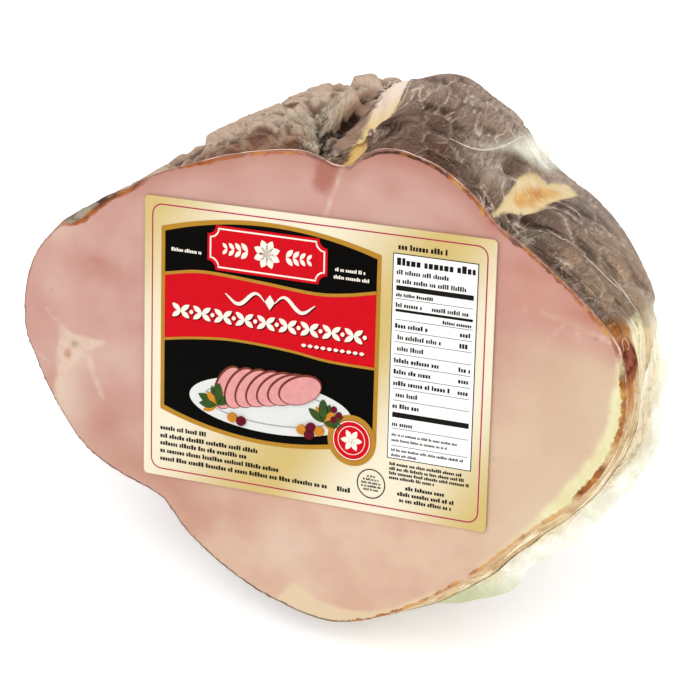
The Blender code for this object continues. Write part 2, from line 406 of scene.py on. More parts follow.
# The cooked line round the edge of the cut: angle, width in mm, share of amber and share of cover.
EDGE_LINE = [
    (-90, 0.8, 0.1, 0.9), (-72, 0.8, 0.5, 0.9), (-60, 0.9, 0.9, 0.9), (-44, 0.9, 1.0, 0.85),
    (-30, 0.8, 1.1, 0.75), (-20, 0.9, 1.0, 0.6), (-14, 1.3, 0.9, 0.8), (-10.5, 1.0, 1.0, 0.3),
    (-8, 1.9, 0.7, 1.0), (-2, 2.3, 0.6, 1.0), (1, 1.2, 0.9, 0.4), (5, 1.9, 0.9, 1.0),
    (10, 1.3, 0.95, 0.9), (15, 2.1, 0.7, 1.0), (18, 1.0, 0.3, 0.3), (24, 0.9, 0.9, 0.8),
    (34, 0.6, 0.6, 0.8), (44, 0.8, 0.7, 0.9), (50, 0.7, 0.5, 0.6), (52, 0.6, 0.4, 0.3),
    (54, 0.7, 0.9, 0.9), (64, 0.8, 0.8, 0.9), (70, 0.9, 0.25, 0.95), (86, 0.9, 0.25, 0.95),
    (91, 0.6, 0.4, 0.3), (96, 0.5, 0.3, 0.3), (101, 0.6, 0.1, 0.5), (106, 0.7, 0.4, 0.8),
    (110, 0.9, 0.8, 0.9), (113, 0.8, 0.5, 0.7), (116, 1.3, 0.9, 0.9), (119, 1.1, 0.8, 0.9),
    (122, 0.8, 0.4, 0.8), (128, 0.9, 0.5, 0.85),
    (133, 1.6, 0.6, 1.0), (137, 2.4, 0.45, 1.0), (141, 1.6, 0.75, 0.9), (146, 0.5, 0.3, 0.2),
    (149, 1.8, 0.3, 0.8), (152, 2.4, 0.4, 1.0), (156, 3.2, 0.3, 1.0), (160, 4.4, 0.4, 1.0),
    (163, 6.0, 0.45, 1.0), (165.4, 5.4, 0.5, 1.0), (166.8, 1.0, 0.4, 0.6), (169, 0.6, 0.4, 0.4),
    (180, 0.6, 0.2, 0.6), (215, 0.8, 0.1, 0.85), (240, 0.9, 0.0, 0.9), (262, 1.0, 0.0, 0.95),
    (270, 0.8, 0.1, 0.9)]
LOW_BULGE = [                             # angle, and how far the side swells behind the cut there
    (-90, 0), (-80, 0.3), (-68, 2.4), (-52, 4.8), (-36, 5.2), (-18, 4.8), (-4, 4.0), (8, 3.2),
    (16, 2.6), (22, 1.2), (28, 0), (270, 0)]

# Patches on the cut face, as u and v.
POCKET = [
    (-99.5, -12.5), (-96, -15.3), (-92, -16.8), (-86, -16.4), (-79, -16), (-82, -19),
    (-84.5, -21.5), (-82.5, -26), (-80, -31), (-76.5, -37.5), (-78.8, -36), (-83.4, -29),
    (-86.2, -24), (-89.5, -26.5), (-92.2, -31), (-93, -40), (-94.5, -45), (-97, -38),
    (-97, -30), (-98, -24), (-97.5, -19)]
FAT_BAND = [
    (103.5, 35), (104.6, 27), (104.6, 18), (104, 8), (101, -3), (97, -12), (92, -21), (86, -31),
    (78, -42), (71, -51), (66, -60), (70, -75), (125, -20), (125, 40)]
BOTTOM_FAT = [
    (-4, -100), (0.5, -87), (3.5, -83), (5.5, -80.5), (9, -81.8), (15, -83.6), (25, -84),
    (34, -82), (42, -78), (50, -72), (56, -66), (66, -70), (50, -100)]
RIGHT_SEAM = [(76, 38.4), (84, 38.6), (92, 37.2), (99, 35.6), (105, 34)]
SCRATCHES = [[(80, 30), (82, 34), (84, 36.5)], [(-109, -26.5), (-104, -28.5), (-100, -30)],
             [(-99, -14.5), (-104, -11)], [(88, 37.5), (90, 33)]]
NOTCH_SEAM = [(-0.5, 70), (-2.2, 60), (-4.2, 50)]
NOTCH_STAIN = [(-10.5, 72), (-1, 72), (-1.8, 62), (-4, 58), (-8, 57.5), (-11, 61)]
POCKET_HOLES = [
    (-91, -20.3, 1.3, 1.1, 1.0), (-93.4, -24.6, 1.0, 1.6, 1.0), (95, 35.5, 0.6, 0.9, 0.9),
    (69, -14.5, 0.6, 0.4, 0.7), (98.5, -14, 0.7, 0.5, 0.7), (-103, -3.5, 0.6, 0.6, 0.5)]
BLUSHES = [
    (-52, -58, 16, 12, 0.3), (-82, -47, 14, 10, 0.4), (-104, -18, 6, 12, 0.3),
    (-62, -57, 15, 8, 0.65),
    (-86, 10, 12, 5, 0.7), (-87, 12, 3, 1, 0.5), (-76, -46, 9, 8, 0.4), (-98, -36, 3, 6, 0.6),
    (56, 63, 5, 3, 0.9), (68, 51, 9, 3, 0.5), (95, 42, 9, 3, 1.0), (104, 30, 5, 4, 0.3),
    (22, 76, 15, 4, 0.75), (34, 70, 9, 4, 0.5), (18, 66, 4, 5, 0.3), (-38, -68, 13, 11, 0.65),
    (-18, -62, 12, 9, 0.35), (-20, 62, 7, 3, 0.3), (-36, 57, 14, 4, 0.3), (90, -2, 9, 14, 0.2),
    (66, 22, 15, 13, 0.4), (86, 20, 10, 10, 0.25), (42, 58, 4, 3, 0.5)]
PALE_SPOTS = [
    (-103, 20, 6, 5, 0.8), (-100, -3, 8, 7, 0.4), (-72, -20, 14, 6, 0.5), (2, -67, 15, 10, 0.8),
    (-94, -46, 5, 9, 0.6), (-38, 47, 8, 4, 0.2), (-92, -36, 5, 10, 0.9), (-86, -45, 6, 9, 0.6),
    (-90, -24, 9, 7, 0.5), (18, 56, 7, 7, 0.4)]

# Patches of the side seen through the film, as angle, depth, half-widths in mm and strength.
FROST = [(64.5, 19, 9, 10, 0.8), (58.5, 29, 8, 9, 0.7), (69, 27, 6, 7, 0.4)]

FOLD_LEAN = [(-90, 0.1), (40, -0.2), (60, 0.1), (99.5, 0.15)]     # angle, and lean of the folds
LEAN_REACH = 70.0                         # depth past which the folds lean no further
SIDE_DIPS = [                             # angle, depth, half-widths in mm and how far it sinks
    (149, 16, 14, 14, 7.6), (107, 64, 8, 13, 1.6), (114, 54, 5, 9, 0.8), (146, 39, 12, 16, 3.0),
    (134, 26, 9, 12, 1.2), (128, 52, 14, 14, 1.8), (112, 62, 12, 12, 1.0), (131, 35, 4, 7, -1.2),
    (120, 44, 5, 8, -0.8), (109, 54, 5, 7, 1.2), (139, 46, 4, 8, 1.2), (125, 50, 3, 9, 1.3),
    (115, 50, 3, 8, 0.9), (50, 84, 9, 22, 5.0), (18, 48, 12, 17, -2.5)]
RIM_PUSH = [                              # angle, and how far the rim of the cut is eased out there
    (-90, 0.4), (-60, 0.9), (-6, 0.9), (4, 1.5), (9, 1.0), (13, 0.1), (22, 0.6), (40, 0.5),
    (100, 0.5), (116, 0.0), (152, 0.2), (157, 2.2), (162, 2.9), (166, 2.0), (169, 0.4), (174, 0.2),
    (190, 0.6), (206, 0.3), (222, 0.8), (230, -0.6), (240, 0.3), (262, 0.9), (270, 0.4)]
FAN_START = 99.5                          # angles from here to FAN_END have folds that fan out
FAN_END = 262.0
FAN_SPREAD = 42.0                         # distance from the fan's root where folds have true width
FAN_REACH = 70.0                          # distance round the side past which the folds run level
FAN_MIDDLE = math.radians(62.0)           # direction that the far folds of the fan turn to
SEAM = [                                  # depth, and the angle that the fan starts from there
    (0, 99.5), (62, 99.5), (80, 101.5), (104, 104), (130, 105.6), (156, 106)]
VOXEL = 1.28                              # grain of the ham's mesh
RIND_SET = 1.5                            # how far the rind lies under the film, on average
FAT_SET = 1.6                             # how far the fat between the lobes lies under it
SKIN_SET = 1.0                            # how far the skin down the right lies under it
CELL_RISE = 2.3                           # height of the cells of rind between the net's lines
NET_WIDTH = 0.12                          # share of a cell over which it rises from the line
PAD_RISE = 1.3                            # height of the dark pads left of the notch
DRAPE_RISE = 1.9                          # height of the soft folds there
GAP_RISE = 3.6                            # how far the fat far back in the gap stands up
GAP_REACH = 4.5                           # half-width of the gap far back, in degrees
CREASE_DROP = 4.5                         # depth of the dark crease at the notch
HOLLOW_DROP = 9.0                         # depth of the hollow over the upper right lobe
FLOOR_GAP = 0.3 * MM                      # lowest height of the ham, with room for its film
FACE_SET = 0.12                           # how far the cut lies under the film
FACE_END = 1.2                            # depth to which the looks of the cut reach
OUTSIDE = -9.0                            # distance in from a patch's edge, well outside it
RIM_RING = 1.8                            # depth of the bag's ring of points behind the cut
BULGE_DEPTH = 9.0                         # depth at which the side swells most, low down
BULGE_REACH = 6.5                         # depth in front and behind over which it swells


def bare_bag(name):
    """A welded copy of the bag in the face frame, with the fin cut off and its strip closed."""
    piece = add_piece(name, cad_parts["bag"].data.copy())
    piece.data.transform(FACE_FRAME.inverted())
    activate(piece)
    bpy.ops.object.mode_set(mode="EDIT")
    bpy.ops.mesh.select_mode(type="FACE")
    bpy.ops.mesh.select_all(action="SELECT")
    bpy.ops.mesh.remove_doubles(threshold=0.01 * MM)
    bpy.ops.mesh.customdata_custom_splitnormals_clear()
    bpy.ops.mesh.select_all(action="DESELECT")
    bpy.ops.object.mode_set(mode="OBJECT")
    for face in piece.data.polygons:
        face.select = abs(-face.center.z / MM - FIN_DEPTH) < FIN_ROOT
    bpy.ops.object.mode_set(mode="EDIT")
    bpy.ops.mesh.delete(type="FACE")
    bpy.ops.mesh.select_mode(type="EDGE")
    bpy.ops.mesh.select_non_manifold()
    bpy.ops.mesh.bridge_edge_loops(number_cuts=3)
    bpy.ops.mesh.select_all(action="SELECT")
    bpy.ops.mesh.normals_make_consistent(inside=False)
    bpy.ops.object.mode_set(mode="OBJECT")
    piece.data.materials.clear()
    return piece


def ring_at(places, depth):
    """The bag's ring of points at a depth, in order of their angles, after the angles."""
    ring = places[np.abs(places[:, 2] + depth) < 0.2]
    angle, _ = angle_and_depth(ring)
    order = np.argsort(angle)
    return angle[order], ring[order]


def cut_outline(piece):
    """The cut's outer edge as a closed line of u and v, from the ring where the side begins."""
    _, ring = ring_at(read_rows(piece.data.vertices) / MM, RIM_RING)
    return ring[:, :2]


def flow_places(places, angle, depth):
    """The side rolled out round a drum and leaned, or fanned out from the notch on the left."""
    spokes = places[:, :2] - AXIS_START - np.outer(depth, AXIS_DRIFT)
    drum = ARC * 180.0 / math.pi
    drum = drum + (np.hypot(spokes[:, 0], spokes[:, 1]) - drum) * ramp(72.0, 125.0, depth)
    lean = from_table(angle, FOLD_LEAN)
    shift = lean * LEAN_REACH * np.tanh(depth / LEAN_REACH) / ARC
    lip = from_table(depth, LOBE_LIP, 1, 0) - 92.0
    shift += (lip - shift) * ramp(66.0, 86.0, angle)
    turn = np.radians(angle - shift)
    rolled = np.stack([drum * np.cos(turn), drum * np.sin(turn), depth], axis=1)
    seam = from_table(depth, SEAM)
    round_side = np.radians(np.maximum(angle - seam + 1.5, 0.1)) * drum
    bent = FAN_REACH * np.tanh(round_side / FAN_REACH)
    fan = np.arctan2(depth + 2.0, bent)
    reach = np.hypot(round_side, depth + 2.0)
    beside = FAN_SPREAD * fan + np.maximum(reach - 58.0, 0.0) * (fan - FAN_MIDDLE)
    fanned = np.stack([beside, 0.0 * fan, reach], axis=1)
    in_fan = (angle > seam) & (angle < FAN_END)
    return np.where(in_fan[:, None], fanned, rolled)


def ease_rim(places):
    """Ease the rim of the cut out in its own plane, and the side just behind it."""
    angle, depth = angle_and_depth(places)
    out = places[:, :2] - AXIS_START
    reach = np.maximum(np.hypot(out[:, 0], out[:, 1]), 1.0)
    amount = from_table(angle, RIM_PUSH) * ramp(40.0, 78.0, reach)
    amount = amount * (1.0 - ramp(12.0, 45.0, depth))
    moved = places.copy()
    moved[:, :2] += out * (amount / reach)[:, None]
    return moved


def side_swell(angle, depth):
    """How far the side swells behind the cut, low down."""
    return from_table(angle, LOW_BULGE) * bell((depth - BULGE_DEPTH) / BULGE_REACH)


def settle(mesh, places, lowest, finish):
    """Put moved places into a mesh, stand it in the scene and give it its finish."""
    write_points(mesh, ease_rim(places) * MM)
    mesh.transform(FACE_FRAME)
    write_points(mesh, read_rows(mesh.vertices), lowest)
    mesh.shade_smooth()
    mesh.materials.append(finish)


def left_lobe_share(angle, low, high):
    """1 on the lobe left of the notch and 0 elsewhere, rising between two angles."""
    return ramp(low, high, angle) * (1.0 - ramp(190.0, 225.0, angle))


def net_places(places, flow, angle, depth):
    """Coordinates in which the cells of the netted rind are one unit across."""
    left_lobe = left_lobe_share(angle, 96, 104)
    right_lobe = ramp(54, 46, angle)
    across = 10.5 + 7.5 * left_lobe + 3.0 * right_lobe
    along = 19.0 - 5.0 * left_lobe - 4.0 * right_lobe
    small = 1.0 - 0.22 * ramp(13, 3, depth)
    warp = drift(places, 15.0, 3) * 3.0
    warp += drift(places, 5.5, 6) * 1.1
    size = np.stack([across, across, along], axis=1) * small[:, None]
    return (flow + warp * (1.0, 1.0, 1.6)) / size


def store_cells(piece):
    """Work out, with geometry nodes, how far each vertex lies from the net's lines."""
    tree = bpy.data.node_groups.new("rind_net", "GeometryNodeTree")
    for way in ("INPUT", "OUTPUT"):
        tree.interface.new_socket(name="Geometry", in_out=way, socket_type="NodeSocketGeometry")
    start = tree.nodes.new("NodeGroupInput")
    end = tree.nodes.new("NodeGroupOutput")
    place = tree.nodes.new("GeometryNodeInputNamedAttribute")
    place.data_type = "FLOAT_VECTOR"
    place.inputs["Name"].default_value = "net"
    cells = tree.nodes.new("ShaderNodeTexVoronoi")
    cells.feature = "DISTANCE_TO_EDGE"
    cells.inputs["Scale"].default_value = 1.0
    keep = tree.nodes.new("GeometryNodeStoreNamedAttribute")
    keep.data_type = "FLOAT"
    keep.domain = "POINT"
    keep.inputs["Name"].default_value = "cell"
    tree.links.new(place.outputs["Attribute"], cells.inputs["Vector"])
    tree.links.new(start.outputs[0], keep.inputs["Geometry"])
    tree.links.new(cells.outputs["Distance"], keep.inputs["Value"])
    tree.links.new(keep.outputs["Geometry"], end.inputs[0])
    apply_modifier(piece, "NODES", node_group=tree)
    values = np.empty(len(piece.data.vertices))
    piece.data.attributes["cell"].data.foreach_get("value", values)
    return values


def mark_cut(mesh, face, rim, angle, depth, on_side):
    """Keep, for the material, where the cut's fat, seams, stains and cooked edge lie."""
    is_face = depth < FACE_END
    seams = np.maximum(0.4 - line_distance(face, RIGHT_SEAM), 0.5 - line_distance(face, NOTCH_SEAM))
    for scratch in SCRATCHES:
        seams = np.maximum(seams, 0.15 - line_distance(face, scratch))
    for name, values in (("lard", patch(face, BOTTOM_FAT)), ("stain", patch(face, NOTCH_STAIN)),
                         ("pocket", np.maximum(patch(face, POCKET), seams))):
        store(mesh, name, np.where(is_face, values, OUTSIDE))
    for name, table in (("blush", BLUSHES), ("pale", PALE_SPOTS), ("hole", POCKET_HOLES)):
        store(mesh, name, np.where(is_face, spots(face, table), 0.0))

    # The cooked line round the edge, the rust behind it, and painted shade: dark brows over the
    # shoulders and a darker band along the cut's upper rim.
    from_edge = np.where(depth < 0.8, rim - 1.0, -0.9 * (depth - 0.3))
    outside = 1.3 * ramp(132.0, 136.0, angle) * (1.0 - ramp(143.0, 149.0, angle))
    store(mesh, "brink", from_edge + 0.1 + outside)
    store(mesh, "brink_reach", 0.62 * from_table(angle, EDGE_LINE, 0, 1))
    store(mesh, "brink_amber", from_table(angle, EDGE_LINE, 0, 2))
    store(mesh, "brink_cover", from_table(angle, EDGE_LINE, 0, 3))
    near_cut = ramp(20.0, 2.0, depth) * ramp(104.0, 110.0, angle)
    store(mesh, "rust", near_cut * ramp(170.0, 164.0, angle))
    upper_left = ramp(104.0, 108.0, angle) * ramp(153.0, 147.0, angle)
    upper_right = ramp(57.0, 62.0, angle) * ramp(91.0, 88.0, angle)
    low_right = 1.15 * ramp(20.0, 24.0, angle) * ramp(47.0, 42.0, angle)
    brow = ramp(12.0, 2.0, depth) * (upper_left + upper_right + low_right)
    brow = np.maximum(brow, 0.62 * upper_right * ramp(46.0, 24.0, depth))
    # painted shade: the cut darker along its upper rim
    rim_shade = ramp(7.0, 0.0, rim - 1.0) * ramp(50, 58, angle) * ramp(158, 148, angle)
    store(mesh, "brow", np.where(is_face, rim_shade, brow))
    store(mesh, "side", on_side)
    return is_face


def fold_relief(places, flow, angle, depth, left_lobe, pads):
    """Height of the rind's folds, which hang in wide drapes on the lobe left of the notch."""
    folds = lumps(flow / (5.0, 5.0, 17.0), 1.0, 11) * 0.45 * (1.0 - left_lobe)
    folds += lumps(flow / (2.7, 2.7, 9.0), 1.0, 12) * (0.3 + 0.15 * left_lobe)
    spread = np.clip(np.hypot((angle - FAN_START) * ARC, depth) / FAN_SPREAD, 0.3, 1.3)
    drapes = np.minimum(np.abs(lumps(flow / (6.5, 6.5, 24.0), 1.0, 11)) * 9.0, 3.8) - 2.0
    drapes += np.abs(lumps(flow / (3.2, 3.2, 12.0), 1.0, 18)) * 2.6 - 0.8
    drapes = drapes * spread + lumps(places, 10.0, 19) * 1.1 + lumps(places, 5.5, 23) * 0.5
    drapes += lumps(places, 8.0, 27) * 1.5 * ramp(18.0, 36.0, depth)
    return folds + drapes * left_lobe * (1.0 - 0.75 * np.minimum(pads, 1.0))


def make_ham(outline):
    """The ham itself: the flat cut, the fat, and the rind with its netted relief."""
    ham = bare_bag("ham")
    apply_modifier(ham, "REMESH", mode="VOXEL", voxel_size=VOXEL * MM)
    apply_modifier(ham, "SMOOTH", factor=0.5, iterations=4)
    mesh = ham.data
    places = read_rows(mesh.vertices) / MM
    normals = read_rows(mesh.vertex_normals, "vector")
    angle, depth = angle_and_depth(places)
    side = side_map(angle, depth)
    flow = flow_places(places, angle, depth)
    face = places[:, :2]
    rim = patch(face, outline)
    on_side = ramp(0.9, 2.2, depth)
    is_face = mark_cut(mesh, face, rim, angle, depth, on_side)

    def on(corners):
        return patch(side, flat(corners))

    # Where the fat, the skin and the stains lie: distances in from the edges of their patches.
    gap, wedge, right = on(GAP_FAT), on(FAT_WEDGE), on(RIGHT_FAT)
    ragged = lumps(places, 17.0, 24) + 0.6 * lumps(places, 6.0, 25)
    right = right + 7.0 * ragged * ramp(22.0, 42.0, depth)
    wedge = wedge + 3.0 * ragged * ramp(66.0, 92.0, depth)
    mauve, crease = on(GAP_MAUVE), np.maximum(on(GAP_CREASE), on(GAP_CURL))
    crease += 0.8 * lumps(places, 2.6, 17)
    fold = np.maximum.reduce([wide - line_distance(side, flat(route))
                              for wide, route in DARK_LINES])
    side_cream = np.maximum.reduce([gap, wedge, on(RIGHT_CREAM)])
    ambers = np.maximum.reduce([on(GAP_AMBER), on(WEDGE_AMBER), on(RIGHT_AMBER), on(LOW_AMBER)])
    softened = right * (1.0 - 0.7 * ramp(24.0, 40.0, depth))
    store(mesh, "cream", np.where(is_face, patch(face, FAT_BAND), side_cream))
    store(mesh, "amber", np.where(is_face, OUTSIDE, ambers))
    store(mesh, "skin", np.where(is_face, OUTSIDE, softened))
    store(mesh, "brown", on(RIGHT_BROWN))
    store(mesh, "mauve", mauve)
    store(mesh, "dark", np.maximum(crease, fold))
    store(mesh, "frost", spots(side, flat(FROST)))
    store(mesh, "flow", flow)
    store(mesh, "net", net_places(places, flow, angle, depth))
    cell = store_cells(ham)

    # The relief: cells of rind between the net's lines, and fat that lies lower between lobes.
    fat = ramp(-2.6, 2.6, np.maximum.reduce([gap, wedge, mauve]))
    skin = ramp(-2.0, 4.0, right)
    rind = (1.0 - fat) * (1.0 - skin)
    left_lobe = left_lobe_share(angle, 99.0, 103.0)
    pads = spots(side, flat(PADS))
    pillow = 1.0 - np.exp(-cell / NET_WIDTH)
    fine = (CELL_RISE * (1.0 - 0.85 * left_lobe) * pillow
            + fold_relief(places, flow, angle, depth, left_lobe, pads))
    ridge = line_distance(side, flat(PALE_RIDGE)) + 0.8 * lumps(places, 4.0, 26)
    wavy = side + drift(places, 6.0, 28, 2) * 0.9
    # drape: the folds' crests, painted as highlight; under: the strip below each, nearer the cut,
    # painted as its shadow
    drape, under = np.zeros(len(places)), np.zeros(len(places))
    for route in DRAPES:
        crest_line = flat(route)
        drape = np.maximum(drape, bell(line_distance(wavy, crest_line) / 1.4))
        under = np.maximum(under, bell(line_distance(wavy + (0.0, 2.8), crest_line) / 1.7))
    swell = lumps(places, 16.0, 13) * 1.1
    raised = (-RIND_SET - 0.3 * left_lobe + fine + swell) * rind
    raised += (0.25 * lumps(places, 6.0, 14) - FAT_SET) * fat
    raised += (0.5 * lumps(places, 7.0, 15) - SKIN_SET) * skin
    lip = line_distance(side, flat(LOBE_LIP))
    raised += 0.8 * bell((lip - 2.4) / 2.2) * ramp(94.5, 89.0, angle)
    raised -= CREASE_DROP * ramp(-1.2, 1.6, crease)
    raised -= 0.7 * bell(np.minimum(fold, 0.0) / 0.9) * ramp(98, 100, angle)
    across_gap = bell((angle - from_table(depth, GAP_LINE, 1, 0)) / GAP_REACH)
    raised += GAP_RISE * across_gap * ramp(34, 56, depth)
    raised += 1.4 * bell((crease + 2.6) / 1.6) * ramp(100.5, 102.5, angle)
    raised -= HOLLOW_DROP * ramp(-2.0, 7.0, on(LOBE_HOLLOW))
    raised += PAD_RISE * pads + 0.9 * ramp(3.0, 0.0, ridge) + DRAPE_RISE * drape - 0.9 * under

    # Nothing stands far out of the film, and what the whole side does comes on top.
    bridge = 3.0 * across_gap * ramp(34, 56, depth)
    ceiling = 0.3 + 1.5 * left_lobe * ramp(160.0, 148.0, angle) + bridge
    raised = np.minimum(raised, ceiling - 0.5 * np.exp(raised - ceiling).clip(0.0, 1.0))
    raised += side_swell(angle, depth) - spots(side, flat(SIDE_DIPS))

    store(mesh, "pad", pads)
    store(mesh, "ridge", 2.4 - ridge)
    store(mesh, "drape", drape)
    store(mesh, "under", np.maximum(under - drape, 0.0))
    # The material paints this height as light: highlight where the rind is raised, shade where it is
    # sunk.
    store(mesh, "height", (fine - 1.4 + 0.85 * left_lobe) * rind)
    store(mesh, "left_lobe", left_lobe)
    store(mesh, "rind", rind * on_side)
    moved = places + normals * (raised * ramp(0.6, 5.0, depth) * on_side)[:, None]
    moved[:, 2] = np.where(depth < 0.75, -FACE_SET, moved[:, 2])
    settle(mesh, moved, FLOOR_GAP, ham_finish())
    return ham


def ham_finish():
    """Pink cured meat on the cut, and smoked brown rind, cream fat and amber skin round it."""
    look = Finish("ham_flesh_and_rind", Roughness=0.62, Specular_IOR_Level=0.04)
    here = look.place()
    mottle = look.noise(here, 6.0, 4.0)
    cut = cut_colour(look, here, mottle)
    rind, relief = rind_colour(look, here, mottle)

    # A thin cooked line round the cut, amber along the right and over the left lobe.
    amber = look.value("brink_amber")
    ragged = (look.noise(here, 3.4, 4.0, 0.6) - 0.5) * amber.step(0.1, 0.6, 3.4, 1.0)
    inside = look.value("brink_reach") - abs(look.value("brink"))
    patchy = amber + (mottle - 0.5) * 2.2
    smoked = look.blend(mottle.step(0.35, 0.6), (72, 62, 58), (156, 150, 130))
    crust = look.blend(patchy.step(0.25, 0.6), (66, 44, 28), (152, 90, 42)).coats(
        (patchy.step(0.65, 1.1), (198, 144, 74)),
        (look.value("rust") * inside.step(1.3, 0.3, 0.5, 0.1), (186, 104, 66)),
        ((inside + ragged * 0.3).step(1.1, 2.0, 0.9), smoked))
    edge = (inside + ragged).step(-0.35, 0.35) * look.value("brink_cover")
    look.set("Base Color", look.blend(edge, look.blend(look.value("side"), cut, rind), crust))
    look.emboss(relief * look.value("rind"), 0.8)
    return look.material


def cut_colour(look, here, mottle):
    """The cut: rosy at the upper left and peach towards the lower right, with its fat."""
    blotch = look.noise(here, 22.0, 2.0).step(0.35, 0.68)
    wide = look.noise(look.place(turn=0.9), 60.0, 1.0) - 0.5
    fibre = look.noise(look.place((1.0, 2.2, 1.0), 0.35), 2.2, 3.0, 0.6)
    across, up = look.axis(here, "X"), look.axis(here, "Y")
    slope = across * 0.5 - up + wide * 50.0
    rosy = look.blend(blotch, (189, 144, 133), (195, 155, 143))
    peach = look.blend(blotch, (201, 162, 141), (208, 178, 154))
    golden = (across + wide * 40.0).step(55.0, 92.0) * up.step(36.0, 24.0, 0.7)
    pinker = up.step(26.0, 42.0) * across.step(40.0, 75.0, 0.5)
    meat = look.blend(slope.step(-25.0, 70.0), rosy, peach).coats(
        (golden, (208, 186, 156)),
        (pinker, (188, 126, 110)),
        (mottle.step(0.52, 0.82, 0.18), (208, 176, 158)),
        (mottle.step(0.46, 0.18, 0.14), (176, 118, 106)),
        (fibre.step(0.5, 0.85, 0.10), (172, 118, 106)),
        (look.value("blush") * 0.55, (166, 98, 84)),
        (look.value("pale") * 0.55, (212, 191, 172)),
        # painted shade along the cut's upper rim
        (look.value("brow") * 0.4, (160, 102, 84)))

    # The stain by the notch, the star-shaped pocket, its holes and the fat.
    rough = (mottle - 0.5) * 5.0
    pocket = (look.value("pocket") + rough * 0.45).step(-1.1, 1.3)
    hole = look.blend(up.step(-21.6, -23.4), (142, 122, 104), (168, 100, 66))
    fat = look.blend(mottle.step(0.3, 0.7), (214, 204, 156), (222, 216, 174)).coats(
        (up.step(-26.0, -46.0), (212, 184, 150)))
    return meat.coats(
        ((look.value("stain") + rough).step(-1.6, 2.6, 0.8), (160, 98, 84)),
        (pocket * look.noise(here, 4.0, 3.0).step(0.3, 0.65, 0.85, 0.35), (212, 188, 168)),
        (look.value("hole") * 0.9, hole),
        ((look.value("lard") + rough * 0.5).step(-0.8, 1.4) * 0.85, (214, 192, 158)),
        ((look.value("cream") + rough * 0.5).step(-1.4, 1.6), fat))


